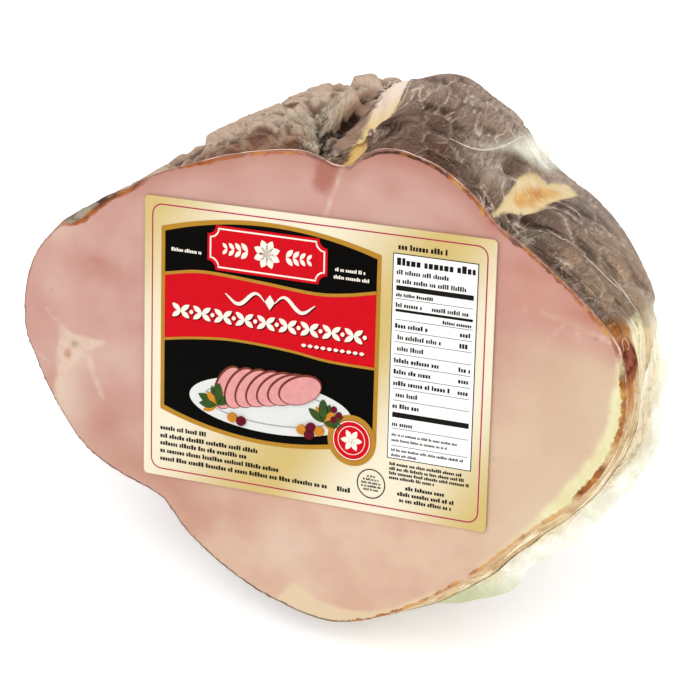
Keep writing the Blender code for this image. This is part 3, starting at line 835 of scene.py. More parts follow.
def rind_colour(look, here, mottle):
    """Smoked rind, its fat and its skin, and the height of the rind's fine folds."""
    net = look.value("net", "Vector")
    flow = look.value("flow", "Vector")
    cell_edge = look.cells(net)
    middle = look.cells(net, "F1", "Position")
    tone = look.node("ShaderNodeSeparateColor", {"Color": look.cells(net, "F1", "Color")})
    within = look.node("ShaderNodeVectorMath", {0: net, 1: middle}, operation="SUBTRACT")
    back = look.axis(within, "Z")
    cloud = look.noise(here, 14.0, 3.0)
    left = look.value("left_lobe")
    across, tilt = look.axis(here, "X"), look.axis(here, "Z")
    uneven = mottle - 0.5

    def by_side(right_share, left_share):
        """One share on the right, and another on the lobe left of the notch."""
        return left.step(0.0, 1.0, left_share, right_share)

    # The smoked ground with painted highlight further back and painted shade over the right lobe,
    # and the strands and hoops that its folds run in.
    behind = tilt.step(-12.0, -62.0)
    rind = look.blend(cloud.step(0.35, 0.65), (116, 86, 68), (158, 130, 110)).coats(
        (tone.step(0.1, 0.9, 0.5), (92, 64, 48)),
        # painted highlight: the rind lighter further back from the cut, on its upper surfaces
        (behind * 0.6, (192, 166, 148)),
        # painted shade between 46 and 84 mm to the right of the label's middle
        (across.step(46.0, 56.0) * across.step(84.0, 62.0, 0.5), (84, 64, 50)),
        (across.step(70.0, 88.0, 0.5), (186, 154, 126)),
        (left * 0.6, (176, 148, 128)),
        (look.noise(here, 26.0, 1.0).step(0.45, 0.65, 0.5) * left, (142, 136, 112)))
    narrow = look.noise(look.stretch(flow, (0.42, 0.42, 0.075)), 1.0, 4.0, 0.62, 0.9)
    broad = look.noise(look.stretch(flow, (0.2, 0.2, 0.05)), 1.0, 3.0, 0.55, 0.6)
    hoops = look.noise(look.stretch(flow, (0.10, 0.10, 0.85)), 1.0, 5.0, 0.68, 0.9)
    drawn = across.step(50.0, 66.0) * look.noise(here, 16.0, 2.0).step(0.3, 0.6)
    strands = narrow.toward(left * 0.7, broad).toward(drawn, hoops)
    strand = abs(strands - 0.5).step(0.045, 0.0)
    crest = strands.step(0.52, 0.72)

    # Light folds run back over each cell, and painted shade makes each cell darkest at its front
    # edge.
    height = look.value("height")
    front = (back + uneven * 0.5).step(-0.06, -0.40)
    near_line = cell_edge + (look.noise(here, 5.0, 3.0) - 0.5) * 0.20
    line = near_line.step(0.14, 0.02, 0.45) + near_line.step(0.05, 0.015, 0.45)
    ribs = look.noise(look.stretch(flow, (1.25, 1.25, 0.14)), 1.0, 3.0, 0.6, 0.6)
    grain = look.noise(look.place((1.0, 1.0, 0.6)), 1.1, 3.0, 0.65)
    finer = by_side(1.0, 0.35)
    low_right = across.step(68.0, 90.0, 0.6) * hoops.step(0.4, 0.6) * tilt.step(-5.0, -13.0)
    rind = rind.coats(
        # painted highlight on the crests of the fine folds
        (crest * 0.55, (192, 166, 144)),
        (strand * 0.35, (206, 180, 160)),
        # painted shade in the troughs of the fine folds
        (strands.step(0.48, 0.3, 0.6) * by_side(1.0, 0.7), (66, 42, 28)),
        # painted highlight where the relief is raised, painted shade where it is sunk
        (height.step(0.4, 1.5) * by_side(0.3, 0.7), (206, 180, 158)),
        (height.step(0.0, -1.1) * by_side(0.5, 0.7), (70, 48, 38)),
        # painted shade: each cell darkest at its front edge, under its puffed rim
        (front * by_side(0.8, 0.1) * behind.step(0.0, 1.0, 0.6, 1.0), (44, 25, 15)),
        (line * by_side(1.0, 0.15), (210, 186, 168)),
        (ribs.step(0.56, 0.7, 0.4) * finer, (204, 180, 160)),
        (ribs.step(0.44, 0.3, 0.35) * finer, (62, 42, 30)),
        (grain.step(0.55, 0.8, 0.35) * finer, (56, 36, 24)),
        # painted sheen, far back on the upper right near the outline
        (tilt.step(-46.0, -80.0, 0.5) * across.step(8.0, 30.0), (208, 188, 172)),
        (low_right, (200, 168, 138)))

    # The upper left: rust near the cut, painted shade of the brows, dark pads with pale borders, a
    # grey-green ridge with painted highlight, and painted highlight and shadow on the drapes.
    rust = look.value("rust")
    pad = look.value("pad") + uneven * 0.5
    drape = (look.value("drape") + (strands - 0.5) * 0.6).step(0.3, 0.9, 0.55)
    rind = rind.coats(
        (rust * cloud.step(0.3, 0.65, 0.6, 0.15), (168, 112, 76)),
        # painted shade: dark brows over the shoulders, just behind the cut
        ((look.value("brow") + uneven * 0.7).step(0.15, 0.8, 0.68), (88, 58, 46)),
        ((look.value("frost") + uneven * 0.8).step(0.1, 0.9, 0.5), (212, 194, 176)),
        (pad.step(0.12, 0.28, 0.45), (198, 164, 136)),
        (pad.step(0.34, 0.6, 0.7), (112, 76, 68)),
        # painted highlight along the grey-green ridge
        (look.value("ridge").step(0.0, 1.6, 0.5), (172, 168, 146)),
        # painted shadow below each drape, then painted highlight on its crest
        (look.value("under").step(0.2, 0.8, 0.6), (92, 68, 58)),
        (drape * rust.step(0.2, 0.8, 0.6, 1.0), (204, 190, 168)),
        (rust.step(0.25, 0.85, 0.42), (124, 76, 54)))

    # Skin and film down the right, mauve painted shade and cream between the lobes, amber pools of
    # fat with painted highlights, and painted shade in the creases and folds.
    soft = (look.noise(here, 8.0, 3.0) - 0.5) * 5.0
    small = look.noise(here, 7.0, 3.0).step(0.35, 0.65)
    before_fin = tilt.step(-32.0, -22.0)
    drawn_line = abs(hoops - 0.5).step(0.04, 0.0)
    skin = look.blend(small, (214, 188, 144), (188, 154, 110)).coats(
        (hoops.step(0.5, 0.64) * before_fin, (236, 226, 194)),
        (drawn_line * (before_fin * 0.5), (150, 118, 84)),
        (tilt.step(-24.0, -40.0, 0.55), (168, 136, 104)))
    brown = look.blend(look.noise(here, 3.0, 3.0).step(0.35, 0.65), (88, 36, 22), (150, 84, 58))
    fat = look.blend(tilt.step(-8.0, -26.0), (222, 182, 108), (230, 202, 144)).coats(
        (tilt.step(-32.0, -56.0), (236, 214, 198)),
        (across.step(30.0, 45.0), (230, 206, 156)),
        (look.noise(here, 9.0, 2.0).step(0.4, 0.7, 0.5), (240, 224, 192)),
        (across.step(76.0, 88.0, 0.75), (246, 238, 200)))
    amber = look.blend(cloud.step(0.3, 0.7), (232, 178, 90), (192, 122, 52)).coats(
        # painted highlights on the amber fat
        (look.noise(here, 2.6, 2.0).step(0.6, 0.75, 0.7), (250, 226, 178)),
        (across.step(76.0, 84.0, 0.6), (158, 78, 26)))
    rind = rind.coats(
        ((look.value("skin") + soft).step(-1.5, 2.0), skin),
        ((look.value("brown") + soft * 0.4).step(-0.8, 0.8), brown),
        # mauve-brown painted shade on the fat in the gap
        (look.value("mauve").step(-0.8, 2.2) * 0.85, (150, 120, 102)),
        ((look.value("cream") + soft * 0.3).step(-0.9, 0.9), fat),
        ((look.value("amber") + soft * 0.6).step(-1.6, 2.6, 0.85), amber),
        # painted shade in the crease at the notch and along the skin's folds
        ((look.value("dark") + (grain - 0.5) * 1.2).step(-0.5, 0.4), (54, 34, 22)))
    relief = strand * 0.6 + crest * 0.9 + cell_edge.step(0.0, 0.12) * 0.8
    return rind, relief + grain * 0.35


# ---------------------------------------------------------------- the clear film
FILM_VOXEL = 2.4                          # grain of the film's mesh
FILM_REACH = 1.6                          # how far the film lies over the bag's own surface
FILM_CLEAR = 0.002                        # how much of the film shows where it is tight
# The film's whiteness along its creases is partly milky film and partly painted highlight.
FILM_MILK = 0.22                          # how much of the film shows along its creases


def make_film():
    """The clear bag drawn tight over the ham, bridging the furrows between the muscles."""
    film = bare_bag("film")
    mesh = film.data
    apply_modifier(film, "REMESH", mode="VOXEL", voxel_size=FILM_VOXEL * MM)
    tight = read_rows(mesh.vertices) / MM
    normals = read_rows(mesh.vertex_normals, "vector")
    apply_modifier(film, "SMOOTH", factor=0.5, iterations=26)
    drawn = read_rows(mesh.vertices) / MM
    rise = np.sum((drawn - tight) * normals, axis=1) + FILM_REACH
    angle, depth = angle_and_depth(tight)
    side = side_map(angle, depth)
    crinkle = lumps(tight, 5.0, 21) * 0.35 + lumps(tight, 2.8, 22) * 0.2
    rise = np.clip(rise, 0.0, 6.0) + crinkle + side_swell(angle, depth)
    rise = rise - spots(side, flat(SIDE_DIPS)) + 0.35
    store(mesh, "veil", ramp(-3.0, 4.0, patch(side, flat(HOLLOW_VEIL))))
    lifted = tight + normals * (rise * ramp(1.0, 5.0, depth))[:, None]
    settle(mesh, lifted, 0.0, film_finish())
    return film


def film_finish():
    """Clear film: nearly nothing where it is tight, whiter along its creases, partly as milky film
    and partly as painted highlight.
    """
    look = Finish("clear_film", Roughness=0.2, Specular_IOR_Level=0.25,
                  Base_Color=paint((252, 248, 222)))
    here = look.place()
    creases = look.noise(look.place((1.0, 1.0, 0.6), 0.5), 9.0, 4.0, 0.6, 1.6)
    ridge = abs(creases - 0.5).step(0.028, 0.0)
    behind = look.axis(here, "Z").step(-1.0, -3.5)
    veil = ridge * look.noise(here, 18.0, 2.0).step(0.45, 0.7) * FILM_MILK + FILM_CLEAR
    cloudy = look.noise(here, 7.0, 3.0).step(0.3, 0.7, 0.9, 0.6)
    veil = veil.math("MAXIMUM", look.value("veil") * cloudy)
    look.set("Alpha", veil * behind.step(0.0, 1.0, 1.0, 0.12))
    look.emboss(ridge + creases, 0.4, 0.6)
    return look.material


# ---------------------------------------------------------------- folds, edge and fin of the film
# Creases of the film as angle, depth, angle, depth and thickness, from one end to the other.
CREASES = [
    (20.5, 25, 8, 14, 0.28), (17.5, 25.5, 3, 12, 0.24), (24, 14, 9.5, 24, 0.22),
    (8, 25, -22, 10, 0.3), (3, 9, -30, 13, 0.26), (-2, 24, -34, 9, 0.28), (-12, 10, -44, 16, 0.26),
    (-20, 24, -50, 8, 0.28), (-30, 12, -60, 9, 0.26), (-38, 22, -66, 6, 0.26),
    (-50, 14, -72, 7, 0.2), (12, 16, -8, 16, 0.2), (-6, 14, -26, 20, 0.2), (-42, 8, -58, 17, 0.2),
    (30, 24, 21, 27, 0.16), (36, 21, 24, 25, 0.16), (44, 19, 37, 22, 0.14)]
CURL = [(20.2, 1.5), (21.4, 3.2), (21.6, 5.6), (20.6, 7), (19.6, 5.8), (20.2, 4)]
LOBE_ARC = [(72.5, 17), (69.5, 18), (66.8, 20.5), (64.6, 26), (62.6, 36), (61.4, 48), (60.3, 62)]
SMALL_ARC = [(57, 26), (55, 30), (53, 33), (50.5, 34)]
# The film's line on the cut's edge is a painted highlight.
EDGE_BEAD = [                             # angle and thickness of the film's line on the cut's edge
    (-90, 0.03), (-70, 0.03), (-10, 0.03), (6, 0.03), (19.4, 0.04), (20.8, 0.55),
    (22.2, 0.45), (23.4, 0.06), (28, 0.02), (46, 0.02), (54, 0.03), (62, 0.12), (80, 0.15),
    (88, 0.18), (92, 0.06), (97, 0.24), (101, 0.12), (108, 0.16), (124, 0.14), (132, 0.12),
    (136, 0.04), (160, 0.03), (270, 0.03)]
# Plies of the fin: depth, pleating, seed, then angle and reach from the axis along the edge.
FIN_PLIES = [
    ("low", 27.0, 0.7, 31, [
        (-77, 91), (-72, 95), (-68, 97.3), (-64, 97.3), (-60, 97.6), (-56, 99), (-52, 99.6),
        (-48, 101.2), (-44, 102.4), (-41, 102.2), (-38, 100.4), (-36, 97), (-34.5, 88)]),
    ("high", 26.0, 1.2, 32, [
        (-50, 86), (-46, 90), (-42, 95), (-38, 98.8), (-34, 100.2), (-30, 102), (-26, 104.6),
        (-20, 106), (-12, 110), (-4, 114), (0, 115.6), (6, 114.4), (12, 115.4), (20, 116.6),
        (23, 115.6), (25, 113), (26.5, 108), (27, 104)]),
    ("inner", 22.0, 1.3, 33, [
        (-78, 90), (-70, 91), (-60, 90.6), (-50, 90.8), (-38, 91.6), (-28, 94), (-22, 95),
        (-18, 94)])]
FIN_CLEAR = [                             # angle, and how milky the fin is there
    (-90, 1.0), (-6, 1.0), (10, 0.85), (17, 0.65), (21, 0.32), (24, 0.08), (27, 0.05)]
FIN_FOOT = 24.5                           # depth of the bag's ring that the fin grows from
FIN_ROWS = 9                              # rows of points from the fin's foot to its edge
FIN_STEP = 0.55                           # degrees between the fin's columns of points


class Side:
    """Looks up points of the tight bag's side by angle and depth, in the face frame."""

    def __init__(self, piece):
        places = read_rows(piece.data.vertices) / MM
        faces = [tuple(face.vertices) for face in piece.data.polygons]
        self.tree = BVHTree.FromPolygons([tuple(place) for place in places], faces)

    def point(self, angle, depth, lift=0.0):
        start = Vector((AXIS_START[0] + AXIS_DRIFT[0] * depth,
                        AXIS_START[1] + AXIS_DRIFT[1] * depth, -depth))
        turn = math.radians(angle)
        way = Vector((math.cos(turn), math.sin(turn), 0.0))
        hit = self.tree.ray_cast(start, way)[0]
        return hit + way * lift


def ring_radii(depth):
    """Angle and distance from the axis of the bag's ring of points at a depth."""
    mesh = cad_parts["bag"].data
    inverse = FACE_FRAME.inverted()
    places = np.array([inverse @ vertex.co for vertex in mesh.vertices]) / MM
    angle, ring = ring_at(places, depth)
    across = ring[:, 0] - AXIS_START[0] - AXIS_DRIFT[0] * depth
    above = ring[:, 1] - AXIS_START[1] - AXIS_DRIFT[1] * depth
    return angle, np.hypot(across, above)


def threads(name, routes, finish):
    """Tapered round threads along lines of points, each point with its own radius."""
    curve = bpy.data.curves.new(name, "CURVE")
    curve.dimensions = "3D"
    curve.bevel_depth = 1.0
    curve.bevel_resolution = 1
    curve.use_fill_caps = True
    for points, radii, closed in routes:
        spline = curve.splines.new("POLY")
        spline.points.add(len(points) - 1)
        spline.use_cyclic_u = closed
        for target, place, radius in zip(spline.points, points, radii):
            target.co = (*place, 1.0)
            target.radius = radius
    line = add_piece(name + "_line", curve)
    graph = bpy.context.evaluated_depsgraph_get()
    mesh = bpy.data.meshes.new_from_object(line.evaluated_get(graph))
    bpy.data.objects.remove(line)
    mesh.name = name
    mesh.transform(Matrix.Scale(MM, 4))
    mesh.transform(FACE_FRAME)
    mesh.shade_smooth()
    mesh.materials.clear()
    mesh.materials.append(finish)
    return add_piece(name, mesh)


def make_creases(side):
    """Sharp creases and drawn lines of the film on the right and over the upper lobe, as milky
    threads that are painted highlights.
    """
    routes = []
    steps = 22
    for number, (turn, depth, turn_end, depth_end, thick) in enumerate(CREASES):
        points, radii = [], []
        for step in range(steps + 1):
            share = step / steps
            sway = math.sin(math.pi * share) * math.sin(5.0 * share + number) * 1.2
            angle = turn + (turn_end - turn) * share + sway
            point = side.point(angle, depth + (depth_end - depth) * share + 0.5 * sway, 0.9)
            points.append(point)
            radii.append(thick * max(0.08, math.sin(math.pi * share) ** 0.7))
        routes.append((points, radii, False))
    for line, thick in ((LOBE_ARC, 0.30), (SMALL_ARC, 0.2), (CURL, 0.13)):
        smooth = smooth_line(line, 6)
        points = [side.point(angle, depth, 1.3) for angle, depth in smooth]
        taper = np.sin(math.pi * np.linspace(0.04, 0.96, len(points))) ** 0.5
        routes.append((points, thick * taper, False))
    return threads("film_creases", routes, clear_fold_finish("film_crease", 0.75))


def make_edge_bead(outline):
    """The film's bright line where it bends over the edge of the cut: a milky thread as a painted
    highlight.
    """
    closed = np.vstack([outline, outline[:1]])
    dense = smooth_line(closed, 4)[:-1]
    places = ease_rim(np.column_stack([dense, np.zeros(len(dense))]))
    angles, _ = angle_and_depth(places)
    thickness = from_table(angles, EDGE_BEAD)
    wobble = lumps(places, 5.0, 41)
    places[:, :2] *= (1.0 - 0.0012 * (1.0 + wobble))[:, None]
    places[:, 2] = -0.35 + 0.25 * wobble
    radii = thickness * np.clip(0.75 + 0.7 * lumps(places, 4.0, 42), 0.2, 1.4)
    finish = clear_fold_finish("film_edge", 0.9, (226, 170, 142), (246, 220, 204))
    return threads("film_edge", [(places, radii, True)], finish)


def make_ply(name, depth, pleating, seed, edge):
    """One crinkled ply of the fin, from the bag's side out to its own edge."""
    foot_angles, foot_radii = ring_radii(FIN_FOOT)
    angles = np.arange(edge[0][0], edge[-1][0] + 0.01, FIN_STEP)
    columns = len(angles)
    foot = np.interp(angles, foot_angles, foot_radii) - 1.5
    line = smooth_line(edge, 8)
    tip = np.maximum(np.interp(angles, line[:, 0], line[:, 1]), foot + 0.5)
    turn, share = np.meshgrid(angles, np.linspace(0.0, 1.0, FIN_ROWS))
    rough = np.column_stack([turn.ravel() * 1.4, share.ravel() * 9.0, np.zeros(turn.size)])
    torn = 0.5 * lumps(rough * (1, 0, 0), 5.0, seed).reshape(turn.shape)
    reach = foot + (tip - foot + torn) * share
    pleat = lumps(rough, 4.5, seed + 10) + 0.45 * lumps(rough, 2.0, seed + 20)
    back = depth + pleating * pleat.reshape(turn.shape) * np.minimum(1.0, share * 1.6)
    around = np.radians(turn)
    places = np.stack([AXIS_START[0] + AXIS_DRIFT[0] * depth + reach * np.cos(around),
                       AXIS_START[1] + AXIS_DRIFT[1] * depth + reach * np.sin(around),
                       -back], axis=-1).reshape(-1, 3)
    faces = [(r * columns + c, r * columns + c + 1, (r + 1) * columns + c + 1,
              (r + 1) * columns + c) for r in range(FIN_ROWS - 1) for c in range(columns - 1)]
    mesh = bpy.data.meshes.new("film_fin_" + name)
    mesh.from_pydata([tuple(place * MM) for place in places], [], faces)
    mesh.transform(FACE_FRAME)
    mesh.materials.append(fin_finish())
    ply = add_piece(mesh.name, mesh)
    foot_milk = np.interp(turn, (-40.0, -10.0), (0.45, 0.0))
    milk = foot_milk + (1.0 - foot_milk) * ramp(0.0, 0.6, share)
    store(mesh, "foot", 1.0 - ramp(0.35, 1.0, share).ravel())
    store(mesh, "weave", rough * (0.09, 0.6, 1.0) + (0.0, 0.0, seed))
    milk = milk * from_table(turn, FIN_CLEAR)
    store(mesh, "milk", milk.ravel())
    apply_modifier(ply, "SOLIDIFY", thickness=0.2 * MM, offset=0.0)
    activate(ply)
    bpy.ops.object.shade_smooth_by_angle(angle=math.radians(50.0))
    return ply


def clear_fold_finish(name, share, dark=(238, 218, 202), light=(250, 240, 230)):
    """Film folded on itself: glossy, and milky white, partly the folded film's own and partly a
    painted highlight.
    """
    look = Finish(name, Roughness=0.12, Coat_Weight=0.3, Coat_Roughness=0.08)
    here = look.place()
    tint = look.noise(here, 3.0, 2.0)
    look.set("Base Color", look.blend(tint, dark, light))
    look.set("Alpha", tint.step(0.2, 0.7, share, share * 0.55))
    look.emboss(look.noise(here, 1.2, 2.0), 0.2, 0.5)
    return look.material


def fin_finish():
    """Loose film, pale green-white, with streaks where its crinkles overlap, and a faint painted
    glow as if lit through from behind.
    """
    look = Finish("film_fin", Roughness=0.3, Specular_IOR_Level=0.3, Emission_Strength=0.14)
    here = look.place()
    cloud = look.noise(here, 10.0, 3.0)
    streak = look.noise(look.place((1.0, 0.35, 1.0), 0.5), 2.2, 4.0, 0.6, 0.8)
    pleats = look.noise(look.value("weave", "Vector"), 1.0, 3.0, 0.6, 1.4) - 0.5
    fold = abs(pleats).step(0.035, 0.005)
    foot = (look.value("foot") + pleats * 1.2).step(0.3, 0.9)
    colour = look.blend(cloud.step(0.35, 0.65), (240, 243, 226), (255, 255, 250)).coats(
        (look.axis(here, "Y").step(-60.0, -78.0, 0.9), (196, 204, 160)),
        (abs(streak - 0.5).step(0.022, 0.0) * 0.3, (206, 200, 160)),
        (foot * 0.7, (232, 218, 176)),
        (fold * (foot * 0.6 + 0.12), (166, 140, 98)))
    look.set("Base Color", colour)
    # painted glow: the fin faintly emits its own colour
    look.set("Emission Color", colour)
    look.set("Alpha", cloud.step(0.3, 0.7, 0.96, 0.84) * look.value("milk"))
    look.emboss(streak, 0.4, 0.6)
    return look.material


# ---------------------------------------------------------------- the label's print
# Shapes lie flat on the label, in millimetres from its middle. Each shape is a thin closed plate,
# and a higher layer covers a lower one.
LAYER = 0.05                              # thickness of one layer of print
PRINT_FOOT = LABEL_TOP + 0.02             # height of the print's underside above the cut
PANEL = (-58.5, 24.3)                     # left and right edge of the framed picture panel
FRAME_WIDTH = 1.5
BAND_TOP = [(-57.0, 23.0), (-42.0, 25.3), (-20.0, 24.4), (0.0, 23.2), (12.0, 24.3), (22.8, 26.5)]
BAND_FOOT = [(-57.0, 0.4), (-45.0, 2.3), (-30.0, 3.6), (-10.0, 2.9), (6.0, 1.2), (22.8, 1.0)]
ROUNDEL = (15.2, -25.7)                   # middle of the small roundel
PLAQUE = (-18.0, 35.0)                    # middle of the red plaque
TABLE = (28.4, 59.0, 41.6, -29.7)         # left, right, top and foot of the facts table


class Ink:
    """All the plates of one ink, made into one piece."""

    def __init__(self):
        self.shape = bmesh.new()

    def plate(self, outline, layer=1):
        """A flat plate with a closed outline, from the paper up to its layer."""
        outline = np.array(outline, float)
        area = np.sum(outline[:, 0] * np.roll(outline[:, 1], -1)
                      - outline[:, 1] * np.roll(outline[:, 0], -1))
        if area < 0.0:
            outline = outline[::-1]
        low, high = PRINT_FOOT, PRINT_FOOT + LAYER * layer
        foot = [self.shape.verts.new((x, y, low)) for x, y in outline]
        top = [self.shape.verts.new((x, y, high)) for x, y in outline]
        self.shape.faces.new(top)
        self.shape.faces.new(foot[::-1])
        for k in range(len(foot)):
            after = (k + 1) % len(foot)
            self.shape.faces.new((foot[k], foot[after], top[after], top[k]))

    def bar(self, left, right, foot, top, layer=1):
        self.plate([(left, foot), (right, foot), (right, top), (left, top)], layer)

    def stroke(self, route, width, layer=1):
        """A ribbon along a line, of one width or of a width for each point."""
        route = np.array(route, float)
        widths = np.broadcast_to(np.array(width, float), (len(route),))
        along = np.gradient(route, axis=0)
        along /= np.maximum(np.linalg.norm(along, axis=1), 1e-9)[:, None]
        beside = np.stack([-along[:, 1], along[:, 0]], axis=1) * 0.5 * widths[:, None]
        self.plate(np.concatenate([route - beside, (route + beside)[::-1]]), layer)

    def loop(self, outline, width, layer=1):
        """A closed line of even width, on the inner side of an anticlockwise outline."""
        outer = np.array(outline, float)
        along = np.roll(outer, -1, axis=0) - np.roll(outer, 1, axis=0)
        along /= np.linalg.norm(along, axis=1)[:, None]
        inner = outer + np.stack([-along[:, 1], along[:, 0]], axis=1) * width
        low, high = PRINT_FOOT, PRINT_FOOT + LAYER * layer
        rows = [[self.shape.verts.new((x, y, z)) for x, y in ring]
                for ring, z in ((outer, low), (outer, high), (inner, high), (inner, low))]
        for k in range(4):
            here, there = rows[k], rows[(k + 1) % 4]
            for i in range(len(outer)):
                j = (i + 1) % len(outer)
                self.shape.faces.new((here[i], here[j], there[j], there[i]))

    def leaf(self, x, y, length, turn, slim=0.34, layer=1):
        """A pointed leaf from its stalk end, turned in degrees."""
        turn = math.radians(turn)
        outline = []
        for side in (1.0, -1.0):
            for step in range(7):
                share = step / 7.0 if side > 0.0 else 1.0 - step / 7.0
                rise = side * length * slim * math.sin(math.pi * share) ** 0.8
                run = length * share
                outline.append((x + run * math.cos(turn) - rise * math.sin(turn),
                                y + run * math.sin(turn) + rise * math.cos(turn)))
        self.plate(outline, layer)

    def words(self, left, right, foot, height, seed, weight=0.34, layer=1):
        """A row of short upright strokes in groups, in place of a line of words."""
        pick = random.Random(seed)
        x = left
        letters = pick.randint(2, 7)
        while x < right - weight * height:
            wide = height * pick.uniform(weight, weight * 1.5)
            tall = height * pick.choice((0.72, 0.72, 0.72, 1.0))
            self.bar(x, min(x + wide, right), foot, foot + tall, layer)
            x += wide + 0.17 * height
            letters -= 1
            if letters == 0:
                x += 0.4 * height
                letters = pick.randint(2, 8)

    def finish(self, name, finish):
        """Stand the plates on the label and make them one piece."""
        mesh = bpy.data.meshes.new(name)
        bmesh.ops.recalc_face_normals(self.shape, faces=self.shape.faces)
        self.shape.to_mesh(mesh)
        self.shape.free()
        mesh.transform(Matrix.Scale(MM, 4))
        mesh.transform(LABEL_FRAME)
        mesh.materials.append(finish)
        piece = add_piece(name, mesh)
        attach(piece, "root")
        return piece


def oval(x, y, wide, high, turn=0.0, count=40):
    """An ellipse, anticlockwise, turned in degrees about its middle."""
    turn = math.radians(turn)
    outline = []
    for step in range(count):
        t = 2.0 * math.pi * step / count
        run, rise = wide * math.cos(t), high * math.sin(t)
        outline.append((x + run * math.cos(turn) - rise * math.sin(turn),
                        y + run * math.sin(turn) + rise * math.cos(turn)))
    return outline


def round_box(half_wide, half_high, corner, x=0.0, y=0.0, dished=False, steps=6):
    """A box with rounded corners, or with corners dished inwards as on a plaque."""
    outline = []
    for quarter in range(4):
        side_x = 1.0 if quarter in (0, 3) else -1.0
        side_y = 1.0 if quarter in (0, 1) else -1.0
        for step in range(steps + 1):
            t = 0.5 * math.pi * (quarter + step / steps)
            if dished:
                t = 0.5 * math.pi * (quarter + 3 - step / steps)
                reach = (half_wide, half_high)
            else:
                reach = (half_wide - corner, half_high - corner)
            outline.append((x + side_x * reach[0] + corner * math.cos(t),
                            y + side_y * reach[1] + corner * math.sin(t)))
    return outline


def smooth_line(points, steps=8):
    """A smooth open line through a few points."""
    ends = np.array(points, float)
    ends = np.concatenate([[2 * ends[0] - ends[1]], ends, [2 * ends[-1] - ends[-2]]])
    line = []
    for a, b, c, d in zip(ends, ends[1:], ends[2:], ends[3:]):
        for t in np.arange(steps) / steps:
            bend = (2 * a - 5 * b + 4 * c - d) * t * t
            line.append(0.5 * (2 * b + (c - a) * t + bend + (3 * b - 3 * c + d - a) * t ** 3))
    return np.array(line + [ends[-2]])


def panel_outline(inset):
    """The picture panel: upright sides, an arched top and a bowed foot."""
    left, right = PANEL[0] + inset, PANEL[1] - inset
    shares = np.linspace(0.0, 1.0, 25)
    run = left + (right - left) * shares
    bow = 1.0 - (2.0 * shares - 1.0) ** 2
    foot = np.stack([run, -25.5 + inset - 7.0 * bow], axis=1)
    top = np.stack([run, 40.0 - inset + 6.0 * bow], axis=1)[::-1]
    return np.concatenate([foot, top])


def ink_finish(name, colour, depth=0.06):
    """Printing ink on coated paper: a slight mottle, and the paper's own faint tooth."""
    look = Finish(name, Roughness=0.45, Specular_IOR_Level=0.04)
    here = look.place()
    darker = tuple(value * (1.0 - depth) for value in colour)
    look.set("Base Color", look.blend(look.noise(here, 2.4, 3.0), colour, darker))
    look.emboss(look.noise(here, 0.7, 2.0), 0.04, 0.5)
    return look.material


def paper_finish():
    """Label paper with a soft gold sheen that runs in slanting waves."""
    look = Finish("label_paper", Roughness=0.4, Specular_IOR_Level=0.3)
    here = look.place(turn=-LABEL_ROLL)
    slope = look.axis(here, "X") - look.axis(here, "Y") * 0.72
    slope = slope + (look.noise(here, 30.0, 2.0) - 0.5) * 8.0
    share = slope.step(-34.0, 14.0) * slope.step(50.0, 15.0)
    share = share + slope.step(-56.0, -100.0) + slope.step(60.0, 96.0)
    sheen = look.blend(share, (230, 220, 195), (198, 173, 104))
    fibre = look.noise(look.place((1.0, 3.0, 1.0)), 1.6, 3.0)
    look.set("Base Color", look.blend(fibre * 0.10, sheen, (216, 198, 152)))
    look.emboss(look.noise(here, 0.7, 2.0), 0.04, 0.5)
    return look.material


def print_frames():
    """The key line, the gilt frames, the black panel and the red band."""
    maroon, gilt, black, red = Ink(), Ink(), Ink(), Ink()
    maroon.loop(round_box(62.2, 47.8, 4.0), 0.42)
    gilt.plate(panel_outline(0.0), 1)
    gilt.plate(oval(*ROUNDEL, 9.0, 9.0), 1)
    black.plate(panel_outline(FRAME_WIDTH), 2)
    top, foot = smooth_line(BAND_TOP), smooth_line(BAND_FOOT)
    red.plate(np.concatenate([foot, top[::-1]]), 3)
    gilt.stroke(top + (0.0, 0.5), 1.1, 4)
    gilt.stroke(foot - (0.0, 0.4), 0.9, 4)
    gilt.loop(oval(*ROUNDEL, 9.0, 9.0), 1.9, 4)
    red.plate(oval(*ROUNDEL, 7.15, 7.15), 5)
    red.plate(round_box(22.6, 7.9, 3.2, *PLAQUE, dished=True), 3)
    maroon.finish("print_key_line", ink_finish("ink_maroon", (172, 34, 82)))
    gilt.finish("print_gilt_frames", ink_finish("ink_gilt", (184, 134, 46), 0.12))
    black.finish("print_black_panel", ink_finish("ink_black", (4, 3, 2)))
    red.finish("print_red_fields", ink_finish("ink_red", (208, 14, 28), 0.10))


